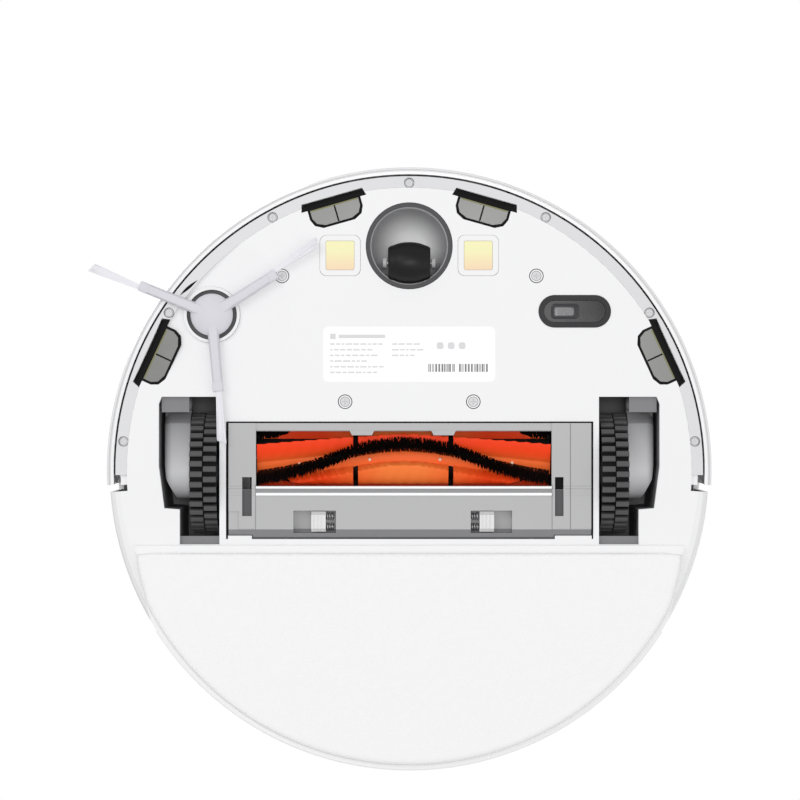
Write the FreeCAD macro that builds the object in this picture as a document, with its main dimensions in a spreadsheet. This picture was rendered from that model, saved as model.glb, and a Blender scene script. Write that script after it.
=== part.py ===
import FreeCAD, Part
import math
import os
import Sketcher
from FreeCAD import Placement, Rotation, Vector

# Round robot vacuum with a rear water tank, in millimetres.
# +Z is up, the floor is at zero, and the cleaner drives towards -Y.

doc = FreeCAD.newDocument("robot_vacuum")
sheet = doc.addObject("Spreadsheet::Sheet", "Size")
nodes = []
sheet_rows = []


class Dim:
    """A length in millimetres, with the sheet expression it comes from."""

    def __init__(self, value, text):
        self.value = value
        self.text = text

    def join(self, sign, other, value):
        return Dim(value, "(%s %s %s)" % (self.text, sign, text_of(other)))

    def __add__(self, other):
        return self.join("+", other, self.value + number(other))

    def __sub__(self, other):
        return self.join("-", other, self.value - number(other))

    def __mul__(self, other):
        return self.join("*", other, self.value * number(other))

    def __truediv__(self, other):
        return self.join("/", other, self.value / number(other))

    def __radd__(self, other):
        return self + other

    def __rmul__(self, other):
        return self * other

    def __rsub__(self, other):
        return Dim(number(other) - self.value, "(%s - %s)" % (text_of(other), self.text))

    def __neg__(self):
        return Dim(-self.value, "(-1 * %s)" % self.text)


def number(value):
    return value.value if isinstance(value, Dim) else float(value)


def text_of(value):
    return value.text if isinstance(value, Dim) else "%.6f" % value


def size(alias, value):
    """Put one driving dimension in the sheet."""
    sheet_rows.append(alias)
    row = len(sheet_rows)
    sheet.set("A%d" % row, alias)
    sheet.set("B%d" % row, str(value))
    sheet.setAlias("B%d" % row, alias)
    return Dim(float(value), "Size." + alias)


# Whole cleaner
body_radius = size("body_radius", 175.0)
bumper_radius = size("bumper_radius", 176.5)
total_height = size("total_height", 81.5)
base_bottom = size("base_bottom", 9.0)
base_skin = size("base_skin", 3.0)
wall = size("wall", 1.6)
gap = size("gap", 0.3)
fit_gap = size("fit_gap", 0.15)
pin_play = size("pin_play", 0.05)
base_edge = size("base_edge", 164.3)
deck_top = size("deck_top", 80.5)
deck_skin = size("deck_skin", 2.8)
bumper_bottom = size("bumper_bottom", 11.6)
bumper_top = size("bumper_top", 66.0)
bumper_end = size("bumper_end", 9.0)
rear_wall_start = size("rear_wall_start", 13.2)
tower_top = size("tower_top", 38.0)

# Running gear
wheel_x = size("wheel_x", 119.7)
wheel_y = size("wheel_y", 2.3)
wheel_radius = size("wheel_radius", 35.5)
tyre_width = size("tyre_width", 15.7)
pivot_y = size("pivot_y", -38.0)
pivot_z = size("pivot_z", 32.0)
pivot_radius = size("pivot_radius", 2.5)
well_top = size("well_top", 75.0)
caster_y = size("caster_y", -130.4)
caster_trail = size("caster_trail", 9.8)
caster_wheel_radius = size("caster_wheel_radius", 12.2)
caster_wheel_width = size("caster_wheel_width", 24.6)
caster_hole = size("caster_hole", 25.3)
caster_ring_hole = size("caster_ring_hole", 22.7)

# Cleaning gear
side_brush_x = size("side_brush_x", -114.9)
side_brush_y = size("side_brush_y", -90.3)
side_hub_radius = size("side_hub_radius", 12.4)
side_well_radius = size("side_well_radius", 16.3)
side_brush_reach = size("side_brush_reach", 78.0)
roller_y = size("roller_y", -6.65)
roller_z = size("roller_z", 25.0)
roller_left = size("roller_left", -89.0)
roller_right = size("roller_right", 82.6)
flap_radius = size("flap_radius", 19.3)
bristle_radius = size("bristle_radius", 20.5)
bay_left = size("bay_left", -106.6)
bay_right = size("bay_right", 107.1)
bay_front = size("bay_front", -28.2)
bay_rear = size("bay_rear", 40.2)
mouth_left = size("mouth_left", -89.1)
mouth_right = size("mouth_right", 82.8)
mouth_front = size("mouth_front", -22.6)
mouth_rear = size("mouth_rear", 9.3)
guard_bottom = size("guard_bottom", 7.6)
guard_top = size("guard_top", 10.4)
guard_left = size("guard_left", -105.0)
guard_right = size("guard_right", 105.8)
guard_front = size("guard_front", -27.3)
tab_front = size("tab_front", 38.2)
seam = size("seam", 0.05)

# Tank, bin and lid
tank_front = size("tank_front", 47.1)
tank_half_width = size("tank_half_width", 147.0)
plate_half_width = size("plate_half_width", 158.7)
tank_corner_y = size("tank_corner_y", 92.0)
tank_roof = size("tank_roof", 33.0)
tank_bottom = size("tank_bottom", 8.75)
plate_bottom = size("plate_bottom", 6.2)
pad_bottom = size("pad_bottom", 1.2)
bin_half_width = size("bin_half_width", 72.5)
bin_front = size("bin_front", 53.0)
bin_rear = size("bin_rear", 148.0)
bin_bottom = size("bin_bottom", 37.0)
lid_front = size("lid_front", 33.0)
lid_rear = size("lid_rear", 160.0)
lid_half_width = size("lid_half_width", 74.5)

# Sensors and contacts
contact_x = size("contact_x", 40.2)
contact_y = size("contact_y", -124.8)
frame_side = size("frame_side", 23.5)
flow_x = size("flow_x", 96.3)
flow_y = size("flow_y", -92.3)
flow_length = size("flow_length", 41.9)
flow_width = size("flow_width", 18.7)

BELOW = -20.0
FRONT_SWEEP = 186.0
REAR_SWEEP = 171.5
TREAD_BLOCKS = 36
FLAPS = 6
SCREW_ANGLES = (-84.3, -56.8, -28.4, 0.0, 28.4, 56.8, 84.3)
BASE_SCREWS = ((37.3, -39.7), (-37.3, -39.7), (74.0, -112.9), (-74.0, -112.9))
BRUSH_ARM_ANGLES = (84.6, -32.2, 202.0)
BRUSH_TUFT_ANGLES = (85.2, -34.2, 201.7)
TAB_SPANS = (("left", -105.4, -91.5), ("right", 84.7, 106.2))
CLIFF_SENSORS = (
    ("front_left_cliff_housing", -15.8, 156.4, 29.0, 12.0, 39.0),
    ("front_right_cliff_housing", 15.8, 156.4, 29.0, 12.0, 39.0),
    ("side_left_cliff_housing", -65.4, 158.4, 32.0, 12.0, 43.0),
    ("side_right_cliff_housing", 65.4, 158.4, 32.0, 12.0, 43.0),
)


# ---------------------------------------------------------------- helpers

def bind(item, name, value):
    """Set a property, tied to the sheet where the value comes from it."""
    if isinstance(value, Dim):
        item.setExpression(name, value.text)
    else:
        setattr(item, name, value)


def move(item, spot, rotation=None):
    """Place an object, with each sheet coordinate tied to its cell."""
    place = Vector(*[number(value) for value in spot])
    item.Placement = Placement(place, rotation or Rotation())
    for letter, value in zip("xyz", spot):
        if isinstance(value, Dim):
            item.setExpression("Placement.Base." + letter, value.text)
    return item


def keep(item):
    """Mark a finished sub-part: its Label names the node."""
    nodes.append(item)
    return item


def box(name, low, high):
    solid = doc.addObject("Part::Box", name)
    for side, start, end in zip(("Length", "Width", "Height"), low, high):
        bind(solid, side, end - start)
    return move(solid, low)


AXIS_TURNS = {
    "X": Rotation(Vector(0, 1, 0), 90),
    "Y": Rotation(Vector(1, 0, 0), -90),
    "Z": Rotation(),
}


def cylinder(name, base, radius, length, axis="Z"):
    solid = doc.addObject("Part::Cylinder", name)
    bind(solid, "Radius", radius)
    bind(solid, "Height", length)
    return move(solid, base, AXIS_TURNS[axis])


def fuse(name, parts):
    solid = doc.addObject("Part::MultiFuse", name)
    solid.Shapes = parts
    solid.Refine = True
    return solid


def group(name, parts):
    solid = doc.addObject("Part::Compound", name)
    solid.Links = parts
    return solid


def cut(name, base, tools):
    solid = doc.addObject("Part::Cut", name)
    solid.Base = base
    solid.Tool = tools[0] if len(tools) == 1 else fuse(name + "_tools", tools)
    solid.Refine = True
    return solid


def common(name, base, tool):
    solid = doc.addObject("Part::Common", name)
    solid.Base = base
    solid.Tool = tool
    solid.Refine = True
    return solid


def mirrored(name, source):
    solid = doc.addObject("Part::Mirroring", name)
    solid.Source = source
    solid.Base = (0, 0, 0)
    solid.Normal = (1, 0, 0)
    return solid


def rounded(name, base, radius, chosen):
    """Round the edges of a solid that the test function picks."""
    doc.recompute()
    edges = [place for place, edge in enumerate(base.Shape.Edges, 1) if chosen(edge)]
    solid = doc.addObject("Part::Fillet", name)
    solid.Base = base
    solid.Edges = [(edge, radius, radius) for edge in edges]
    return solid


def upright(edge):
    ends = [vertex.Point for vertex in edge.Vertexes]
    return len(ends) == 2 and abs(ends[0].z - ends[1].z) > 0.05 and \
        math.hypot(ends[0].x - ends[1].x, ends[0].y - ends[1].y) < 0.01


def rounded_box(name, low, high, radius):
    return rounded(name, box(name + "_block", low, high), radius, upright)


def new_sketch(body, role):
    plane = next(item for item in body.Origin.OriginFeatures if item.Role == role)
    sketch = body.newObject("Sketcher::SketchObject", body.Name + "_sketch")
    sketch.AttachmentSupport = [(plane, "")]
    sketch.MapMode = "FlatFace"
    return sketch


def pin_point(sketch, line, across, up):
    """Hold the start of a line at a sheet position."""
    for kind, axis, value in (("DistanceX", -2, across), ("DistanceY", -1, up)):
        if not isinstance(value, Dim) and value == 0:
            sketch.addConstraint(Sketcher.Constraint("PointOnObject", line, 1, axis))
            continue
        index = sketch.addConstraint(Sketcher.Constraint(kind, -1, 1, line, 1, number(value)))
        if isinstance(value, Dim):
            sketch.setExpression("Constraints[%d]" % index, value.text)


def draw(sketch, points):
    """A closed outline of straight lines."""
    count = len(points)
    ends = [Vector(number(across), number(up), 0) for across, up in points]
    for index in range(count):
        sketch.addGeometry(Part.LineSegment(ends[index], ends[(index + 1) % count]), False)
    for index in range(count):
        sketch.addConstraint(Sketcher.Constraint("Coincident", index, 2, (index + 1) % count, 1))
    for index, (across, up) in enumerate(points):
        pin_point(sketch, index, across, up)


def padded(name, points, bottom, length):
    """A plan outline raised from a height."""
    body = doc.addObject("PartDesign::Body", name)
    sketch = new_sketch(body, "XY_Plane")
    draw(sketch, points)
    pad = body.newObject("PartDesign::Pad", name + "_pad")
    pad.Profile = sketch
    bind(pad, "Length", length)
    return move(body, (0, 0, bottom))


def side_padded(name, points, left, length):
    """A side outline in Y and Z, drawn out along +X from one place."""
    body = doc.addObject("PartDesign::Body", name)
    sketch = new_sketch(body, "YZ_Plane")
    draw(sketch, points)
    pad = body.newObject("PartDesign::Pad", name + "_pad")
    pad.Profile = sketch
    bind(pad, "Length", length)
    return move(body, (left, 0, 0))


def turned(name, points, spot=(0, 0, 0), rotation=None, sweep=360.0, both=False):
    """A radius and height outline turned about the upright axis."""
    body = doc.addObject("PartDesign::Body", name)
    sketch = new_sketch(body, "XZ_Plane")
    draw(sketch, points)
    turn = body.newObject("PartDesign::Revolution", name + "_turn")
    turn.Profile = sketch
    turn.ReferenceAxis = (sketch, ["V_Axis"])
    turn.Angle = sweep
    turn.Midplane = both
    return move(body, spot, rotation)


TO_FRONT = Rotation(Vector(0, 0, 1), -90)
TO_REAR = Rotation(Vector(0, 0, 1), 90)


def polar(radius, degrees):
    """A spot at an angle from the front, positive to the right."""
    turn = math.radians(degrees)
    return radius * math.sin(turn), -radius * math.cos(turn)


# ---------------------------------------------------------------- outlines

def well_outline(grow):
    """The left wheel well seen from below, grown outwards."""
    return [
        (-145.7 - grow, -38.4),
        (-144.0 - grow, -42.6 - grow),
        (-110.4 + grow, -42.6 - grow),
        (-110.4 + grow, 43.3 + grow),
        (-133.5 - grow, 43.3 + grow),
        (-133.5 - grow, 23.0 + grow),
        (-142.5 - grow, 22.3 + grow),
        (-145.7 - grow, -2.1),
    ]


def plate_outline(grow):
    """The mop plate's plan in front of and beside its round rear."""
    side = plate_half_width + grow
    taper = plate_half_width - 9.7 + grow
    return [
        (-side, tank_front - grow),
        (-side, tank_front + 9.0),
        (-taper, tank_corner_y),
        (-200.0, tank_corner_y + 24.0),
        (-200.0, 200.0),
        (200.0, 200.0),
        (200.0, tank_corner_y + 24.0),
        (taper, tank_corner_y),
        (side, tank_front + 9.0),
        (side, tank_front - grow),
    ]


# ---------------------------------------------------------------- shell

def base_plate():
    skin_top = base_bottom + base_skin
    front = turned("base_front", [
        (0, base_bottom), (base_edge, base_bottom), (base_edge, bumper_bottom - 0.1),
        (base_edge + 3.9, bumper_bottom - 0.1), (base_edge + 3.9, 60.0), (base_edge + 1.9, 60.0),
        (base_edge + 1.9, skin_top + 2.0), (base_edge - 8.0, skin_top + 2.0),
        (base_edge - 8.0, skin_top), (0, skin_top),
    ], rotation=TO_FRONT, sweep=FRONT_SWEEP, both=True)
    rear = turned("base_rear", [
        (0, base_bottom), (body_radius - 6.5, base_bottom), (body_radius - 3.4, base_bottom + 0.9),
        (body_radius - 1.1, base_bottom + 3.1), (body_radius, base_bottom + 6.4),
        (body_radius, base_bottom + 7.4), (body_radius - 2.4, base_bottom + 7.4),
        (body_radius - 2.4, base_bottom + 6.0), (body_radius - 6.0, skin_top), (0, skin_top),
    ], rotation=TO_REAR, sweep=REAR_SWEEP, both=True)
    bay_half = tank_half_width + 0.5 + wall
    bay_block = box("tank_bay_block", (-bay_half, tank_front - 2.0, base_bottom),
                    (bay_half, 200.0, tank_roof + 2.5))
    bay_disc = cylinder("tank_bay_disc", (0, 0, 0), body_radius - 2.8, 40.0)
    tower = cylinder("caster_tower", (0, caster_y, base_bottom), caster_hole + 2.0,
                     tower_top + 2.0 - base_bottom)
    dish = cylinder("dish_block", (side_brush_x, side_brush_y, base_bottom), 48.5, 7.0)
    dish_limit = cylinder("dish_limit", (0, 0, 0), base_edge, 40.0)
    middle = cylinder("base_middle", (0, 0, base_bottom), base_edge, base_skin)
    body = fuse("base_body", [
        front, middle, rear, common("tank_bay_walls", bay_block, bay_disc), tower,
        common("dish_boss", dish, dish_limit),
    ])
    opened = cut("base_opened", body, base_openings())
    tabs = [box("guard_rest_" + side, (low_x, tab_front, base_bottom),
                (high_x, bay_rear + 1.0, base_bottom + 1.6))
            for side, low_x, high_x in TAB_SPANS]
    return keep(fuse("base_plate", [opened] + tabs))


def base_openings():
    """Everything that is cut out of the base."""
    left_well = padded("left_well_cut", well_outline(0.0), BELOW, 60.0)
    left_room = padded("left_well_room", well_outline(wall + 0.3), base_bottom + base_skin, 40.0)
    tools = [
        left_well, mirrored("right_well_cut", left_well),
        left_room, mirrored("right_well_room", left_room),
        box("tank_cut", (-tank_half_width - 0.5, tank_front - 0.4, BELOW),
            (tank_half_width + 0.5, 200.0, tank_roof)),
        box("bay_cut", (bay_left, bay_front, BELOW), (bay_right, bay_rear, 60.0)),
        cylinder("caster_cut", (0, caster_y, BELOW), caster_hole, tower_top - BELOW),
        cylinder("caster_stem_cut", (0, caster_y, 0), 4.05, 60.0),
        cylinder("side_brush_cut", (side_brush_x, side_brush_y, BELOW), side_well_radius + fit_gap, 60.0),
        dish_cutter(),
        flow_cut("flow_cut", 0.15),
        crescent("base_crescent"),
    ]
    for sign, side in ((-1, "left"), (1, "right")):
        half = frame_side / 2 + fit_gap
        centre = contact_x * sign
        tools.append(rounded_box(side + "_contact_cut", (centre - half, contact_y - half, BELOW),
                                 (centre + half, contact_y + half, 30.0), 4.0))
    for index, (across, along) in enumerate(BASE_SCREWS):
        tools.append(cylinder("base_screw_seat_%d" % index, (across, along, BELOW), 2.9,
                              base_bottom + 1.4 - BELOW))
        tools.append(ring_groove("base_screw_ring_%d" % index, across, along, 3.7, 4.25, 1.9))
        tools.append(cylinder("base_screw_hole_%d" % index, (across, along, BELOW), 1.6, 60.0))
    for index, degrees in enumerate(SCREW_ANGLES):
        across, along = polar(167.0, degrees)
        tools.append(cylinder("ring_screw_hole_%d" % index, (across, along, BELOW), 1.15, 40.0))
    for name, degrees, radius, width, depth, slot in CLIFF_SENSORS:
        tools.append(cliff_block(name + "_cut", degrees, radius, width + 2.6, depth + 2.6, slot, BELOW, 16.4,
                                 0.15))
    return tools


def dish_cutter():
    """A very flat ball that leaves a shallow dish round the side brush."""
    depth = 3.2
    edge = 46.0
    ball_radius = (edge * edge + depth * depth) / (2 * depth)
    ball = doc.addObject("Part::Sphere", "dish_cut")
    ball.Radius = ball_radius
    return move(ball, (side_brush_x, side_brush_y, base_bottom + depth - ball_radius))


def flow_cut(name, grow):
    """The stadium shape of the carpet and motion sensor."""
    half = flow_length / 2 + grow
    side = flow_width / 2 + grow
    return rounded_box(name, (flow_x - half, flow_y - side, BELOW), (flow_x + half, flow_y + side, 40.0),
                       number(side) - 0.01)


def cliff_block(name, degrees, radius, width, depth, slot, bottom, top, grow):
    """A cliff sensor's D-shaped outline with its long outer slot, turned to face outwards."""
    inner = -depth / 2 - grow
    outer = depth / 2 + grow
    step = outer - 2.6 - 2 * grow
    half = width / 2 + grow
    corner = 6.5
    points = [
        (-half + corner, inner), (half - corner, inner), (half - 1.9, inner + 2.4),
        (half, inner + corner), (half, step),
        (slot / 2 + grow, step), (slot / 2 - 1.5 + grow, outer + 1.6),
        (-slot / 2 + 1.5 - grow, outer + 1.6), (-slot / 2 - grow, step),
        (-half, step), (-half, inner + corner), (-half + 1.9, inner + 2.4),
    ]
    body = padded(name, points, bottom, top - bottom)
    across, along = polar(radius, degrees)
    return move(body, (across, along, bottom), Rotation(Vector(0, 0, 1), 180.0 + degrees))


def ring_groove(name, across, along, inner, outer, depth):
    """A narrow round groove in the underside."""
    return cut(name, cylinder(name + "_outer", (across, along, BELOW), outer, base_bottom + depth - BELOW),
               [cylinder(name + "_inner", (across, along, BELOW), inner, 40.0)])


def crescent(name):
    """The slim curved drain slot in front of the side brush."""
    start, end, steps = 211.0, 248.0, 8
    outer = []
    inner = []
    for index in range(steps + 1):
        share = index / steps
        turn = math.radians(start + (end - start) * share)
        depth = 0.1 + 1.7 * math.sin(math.pi * share)
        outer.append((side_brush_x + 21.7 * math.cos(turn), side_brush_y + 21.7 * math.sin(turn)))
        inner.append((side_brush_x + (21.7 - depth) * math.cos(turn),
                      side_brush_y + (21.7 - depth) * math.sin(turn)))
    return padded(name, outer + inner[::-1], BELOW, base_bottom + 2.0 - BELOW)


def bumper_retainer():
    """The bevelled strip that holds the bumper's lower edge."""
    ring = turned("retainer_ring", [
        (base_edge + seam, base_bottom), (base_edge + 6.7, base_bottom + 0.9),
        (base_edge + 6.7, base_bottom + 2.1), (base_edge + seam, base_bottom + 2.1),
    ], rotation=TO_FRONT, sweep=182.0, both=True)
    tools = [crescent("retainer_crescent")]
    for index, degrees in enumerate(SCREW_ANGLES):
        across, along = polar(167.0, degrees)
        tools.append(cylinder("retainer_seat_%d" % index, (across, along, base_bottom - 1.0), 2.15, 1.8))
        tools.append(ring_groove("retainer_ring_%d" % index, across, along, 2.55, 2.95, 1.2))
        tools.append(cylinder("retainer_hole_%d" % index, (across, along, 0), 1.3, 40.0))
    for name, degrees, radius, width, depth, slot in CLIFF_SENSORS:
        tools.append(cliff_block(name + "_notch", degrees, radius, width + 2.6, depth + 2.6, slot, BELOW,
                                 16.4, 0.3))
    return keep(cut("bumper_retainer", ring, tools))


def screw(name, across, along, head_z, head_radius, head_height, shank, length):
    """A pan-head screw seen from below, with a cross recess."""
    head = cylinder(name + "_head", (across, along, head_z), head_radius, head_height)
    stem = cylinder(name + "_stem", (across, along, head_z), shank, length)
    reach = head_radius * 0.62
    slot_one = box(name + "_slot_a", (across - reach, along - 0.35, head_z - 1.0),
                   (across + reach, along + 0.35, head_z + head_height * 0.6))
    slot_two = box(name + "_slot_b", (across - 0.35, along - reach, head_z - 1.0),
                   (across + 0.35, along + reach, head_z + head_height * 0.6))
    return cut(name, fuse(name + "_blank", [head, stem]), [slot_one, slot_two])


def screws():
    base_set = []
    for index, (across, along) in enumerate(BASE_SCREWS):
        base_set.append(screw("base_screw_%d" % index, across, along, base_bottom + 0.15, 2.65, 1.2, 1.5,
                              12.0))
    keep(group("base_screws", base_set))
    ring_set = []
    for index, degrees in enumerate(SCREW_ANGLES):
        across, along = polar(167.0, degrees)
        ring_set.append(screw("ring_screw_%d" % index, across, along, base_bottom - 0.15, 1.95, 0.8, 1.1,
                              7.0))
    keep(group("retainer_screws", ring_set))


def top_shell():
    deck_low = deck_top - deck_skin
    cap = turned("deck_cap", [
        (0, deck_low), (body_radius - 7.0, deck_low), (body_radius - 2.6, deck_low - 5.0),
        (body_radius - 2.6, bumper_top + 0.6), (body_radius + 0.6, bumper_top + 0.6),
        (body_radius + 0.6, deck_top - 6.8), (body_radius - 0.8, deck_top - 3.6),
        (body_radius - 3.4, deck_top - 1.2), (body_radius - 7.6, deck_top), (0, deck_top),
    ])
    skirt = turned("front_skirt", [
        (base_edge + 1.5, 61.0), (base_edge + 3.9, 61.0), (base_edge + 3.9, deck_low + 0.5),
        (base_edge + 1.5, deck_low + 0.5),
    ], rotation=TO_FRONT, sweep=FRONT_SWEEP, both=True)
    rear = turned("rear_wall", [
        (body_radius - 2.4, base_bottom + 7.8), (body_radius, base_bottom + 7.8),
        (body_radius, bumper_top + 0.8), (body_radius - 2.4, bumper_top + 0.8),
    ], rotation=TO_REAR, sweep=REAR_SWEEP, both=True)
    half = bin_half_width + 2.6
    well_block = box("bin_bay_block", (-half, bin_front - 2.0, tank_roof + 2.9),
                     (half, bin_rear + 2.6, deck_low + 0.5))
    well_disc = cylinder("bin_bay_disc", (0, 0, 0), body_radius - 9.0, 90.0)
    bay = common("bin_bay_walls", well_block, well_disc)
    scoop_cup = cylinder("scoop_cup", (0, lid_rear + 6.0, deck_low - 6.0), 9.5, 6.5)
    body = fuse("top_body", [cap, skirt, rear, bay, scoop_cup])
    return keep(cut("top_shell", body, top_openings(half)))


def top_openings(half):
    deck_low = deck_top - deck_skin
    inner = half - wall
    bin_room = common("bin_room", box("bin_room_block", (-inner, bin_front - 0.4, tank_roof),
                                      (inner, bin_rear + 1.0, deck_low)),
                      cylinder("bin_room_disc", (0, 0, 0), body_radius - 10.6, 90.0))
    lid_half = lid_half_width + 0.4
    lid_seat = common("lid_seat", box("lid_seat_block", (-lid_half, lid_front - 1.8, deck_low - 0.1),
                                      (lid_half, lid_rear + 0.4, 90.0)),
                      cylinder("lid_seat_disc", (0, 0, 0), body_radius - 8.6, 90.0))
    tools = [
        bin_room, lid_seat,
        box("tank_mouth", (-tank_half_width - 0.6, tank_front, BELOW),
            (tank_half_width + 0.6, 200.0, tank_roof + 0.6)),
        box("duct_mouth", (-54.0, bin_front - 6.0, 34.0), (54.0, bin_front + 1.0, 50.2)),
        box("fan_mouth", (half - 4.0, 66.0, 44.0), (half + 2.0, 102.0, 70.0)),
        cylinder("lid_pin_hole_left", (-(lid_half_width + 4.0), lid_front, deck_top - 1.4), 0.8, 6.0, "X"),
        cylinder("lid_pin_hole_right", (lid_half_width - 2.0, lid_front, deck_top - 1.4), 0.8, 6.0, "X"),
        cylinder("camera_hole", (0, -32.0, 60.0), 13.2, 40.0),
        cylinder("power_hole", (-13.5, -118.0, 60.0), 8.3, 40.0),
        cylinder("home_hole", (13.5, -118.0, 60.0), 8.3, 40.0),
    ]
    tools.append(finger_scoop("finger_scoop"))
    for index in range(9):
        spot = polar(160.0, 128.0 + index * 3.0)
        slot = box("vent_%d" % index, (-1.1, -1.0, 40.0), (1.1, 30.0, 60.0))
        tools.append(move(slot, (spot[0], spot[1], 40.0),
                          Rotation(Vector(0, 0, 1), 308.0 + index * 3.0)))
    return tools


def finger_scoop(name):
    """The ball-shaped dip that a fingertip uses to lift the lid."""
    ball = doc.addObject("Part::Sphere", name)
    ball.Radius = 16.0
    return move(ball, (0, lid_rear + 6.0, deck_top + 9.5))


def bumper():
    profile = [
        (bumper_radius - 4.2, bumper_bottom), (bumper_radius - 1.8, bumper_bottom),
        (bumper_radius - 0.5, bumper_bottom + 0.9), (bumper_radius, bumper_bottom + 2.6),
        (bumper_radius, bumper_top - 1.0), (bumper_radius - 1.0, bumper_top),
        (bumper_radius - 5.0, bumper_top), (bumper_radius - 5.0, bumper_top - 2.0),
        (bumper_radius - 2.2, bumper_top - 2.0), (bumper_radius - 2.2, bumper_bottom + 2.4),
        (bumper_radius - 4.2, bumper_bottom + 2.4),
    ]
    sweep = 2 * (90.0 + math.degrees(math.asin(bumper_end.value / bumper_radius.value)))
    ring = turned("bumper_ring", profile, rotation=TO_FRONT, sweep=sweep, both=True)
    window = turned("window_room", [
        (bumper_radius - 8.0, 35.8), (bumper_radius + 4.0, 35.8),
        (bumper_radius + 4.0, 50.2), (bumper_radius - 8.0, 50.2),
    ], rotation=TO_FRONT, sweep=30.6, both=True)
    keep(cut("bumper", ring, [window]))
    keep(turned("bumper_window", [
        (bumper_radius - 2.2, 36.0), (bumper_radius - 0.1, 36.0),
        (bumper_radius - 0.1, 50.0), (bumper_radius - 2.2, 50.0),
    ], rotation=TO_FRONT, sweep=30.4, both=True))


def rating_label():
    return keep(rounded_box("rating_label", (-50.0, -83.3, base_bottom - 0.2), (50.0, -51.3, base_bottom),
                            3.0))


# ---------------------------------------------------------------- sensors

def cliff_sensors():
    windows = []
    for name, degrees, radius, width, depth, slot in CLIFF_SENSORS:
        block = cliff_block(name + "_block", degrees, radius, width + 2.6, depth + 2.6, slot,
                            base_bottom + 0.3, base_bottom + 7.0, 0.0)
        recess = cliff_window(name + "_recess", degrees, radius, width + 0.3, depth + 0.3, 0.0,
                              base_bottom + 3.0)
        across, along = polar(radius + depth / 2 + 1.0, degrees)
        groove = box(name + "_groove", (0, 0, 0), (slot - 5.0, 1.9, base_bottom + 2.2))
        corner = polar((slot - 5.0) / 2, degrees + 90.0)
        move(groove, (across + corner[0], along + corner[1], 0), Rotation(Vector(0, 0, 1), 180.0 + degrees))
        keep(cut(name, block, [recess, groove]))
        lens = cliff_window(name + "_lens", degrees, radius, width, depth, base_bottom + 0.5,
                            base_bottom + 2.9)
        bar = box(name + "_bar", (0, 0, 0), (1.1, depth + 4.0, 40.0))
        across, along = polar(radius + depth / 2 + 2.0, degrees)
        corner = polar(0.55, degrees + 90.0)
        move(bar, (across + corner[0], along + corner[1], 0), Rotation(Vector(0, 0, 1), 180.0 + degrees))
        windows.append(cut(name + "_panes", lens, [bar]))
    keep(group("cliff_windows", windows))


def cliff_window(name, degrees, radius, width, depth, bottom, top):
    half = width / 2
    points = [
        (-half + 6.5, -depth / 2), (half - 6.5, -depth / 2), (half - 1.9, -depth / 2 + 2.0),
        (half, -depth / 2 + 5.6), (half, depth / 2), (-half, depth / 2),
        (-half, -depth / 2 + 5.6), (-half + 1.9, -depth / 2 + 2.0),
    ]
    body = padded(name, points, bottom, top - bottom)
    across, along = polar(radius, degrees)
    return move(body, (across, along, bottom), Rotation(Vector(0, 0, 1), 180.0 + degrees))


def charging_contacts():
    frames = []
    plates = []
    for sign, side in ((-1, "left"), (1, "right")):
        centre = contact_x * sign
        half = frame_side / 2
        block = rounded_box(side + "_frame_block", (centre - half, contact_y - half, base_bottom - 0.5),
                            (centre + half, contact_y + half, base_bottom + 3.0), 4.0)
        room = rounded_box(side + "_frame_room", (centre - 8.35, contact_y - 8.55, base_bottom - 2.0),
                           (centre + 8.35, contact_y + 8.55, base_bottom + 1.4), 1.2)
        frames.append(cut(side + "_frame", block, [room]))
        plates.append(rounded_box(side + "_plate", (centre - 8.2, contact_y - 8.4, base_bottom - 0.3),
                                  (centre + 8.2, contact_y + 8.4, base_bottom + 1.4), 1.0))
    keep(group("contact_frames", frames))
    keep(group("charge_contacts", plates))


def flow_sensor():
    low = base_bottom - 0.4
    outer = common("flow_outer", flow_cut("flow_outer_plan", 0.0),
                   box("flow_outer_slab", (flow_x - 30.0, flow_y - 15.0, low),
                       (flow_x + 30.0, flow_y + 15.0, low + 6.0)))
    room = common("flow_room", flow_cut("flow_room_plan", -3.0),
                  box("flow_room_slab", (flow_x - 30.0, flow_y - 15.0, low - 2.0),
                      (flow_x + 30.0, flow_y + 15.0, low + 4.0)))
    keep(cut("flow_sensor_bezel", outer, [room]))
    keep(common("flow_sensor_window", flow_cut("flow_glass_plan", -3.15),
                box("flow_glass_slab", (flow_x - 30.0, flow_y - 15.0, low + 0.8),
                    (flow_x + 30.0, flow_y + 15.0, low + 4.0))))


def camera_and_buttons():
    keep(turned("camera_bezel", [
        (8.2, deck_top - 4.0), (13.0, deck_top - 4.0), (13.0, deck_top + 0.2), (12.2, total_height),
        (9.2, total_height), (8.2, deck_top + 0.1),
    ], spot=(0, -32.0, 0)))
    keep(turned("camera_lens", [
        (0, deck_top - 4.0), (8.05, deck_top - 4.0), (8.05, deck_top - 0.6), (5.5, deck_top + 0.2),
        (0, deck_top + 0.6),
    ], spot=(0, -32.0, 0)))
    for name, across in (("power_button", -13.5), ("home_button", 13.5)):
        keep(turned(name, [
            (0, deck_top - 4.5), (8.0, deck_top - 4.5), (8.0, deck_top - 0.2), (7.5, deck_top + 0.1),
            (4.0, deck_top - 0.25), (0, deck_top - 0.4),
        ], spot=(across, -118.0, 0)))


# ---------------------------------------------------------------- caster

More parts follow.
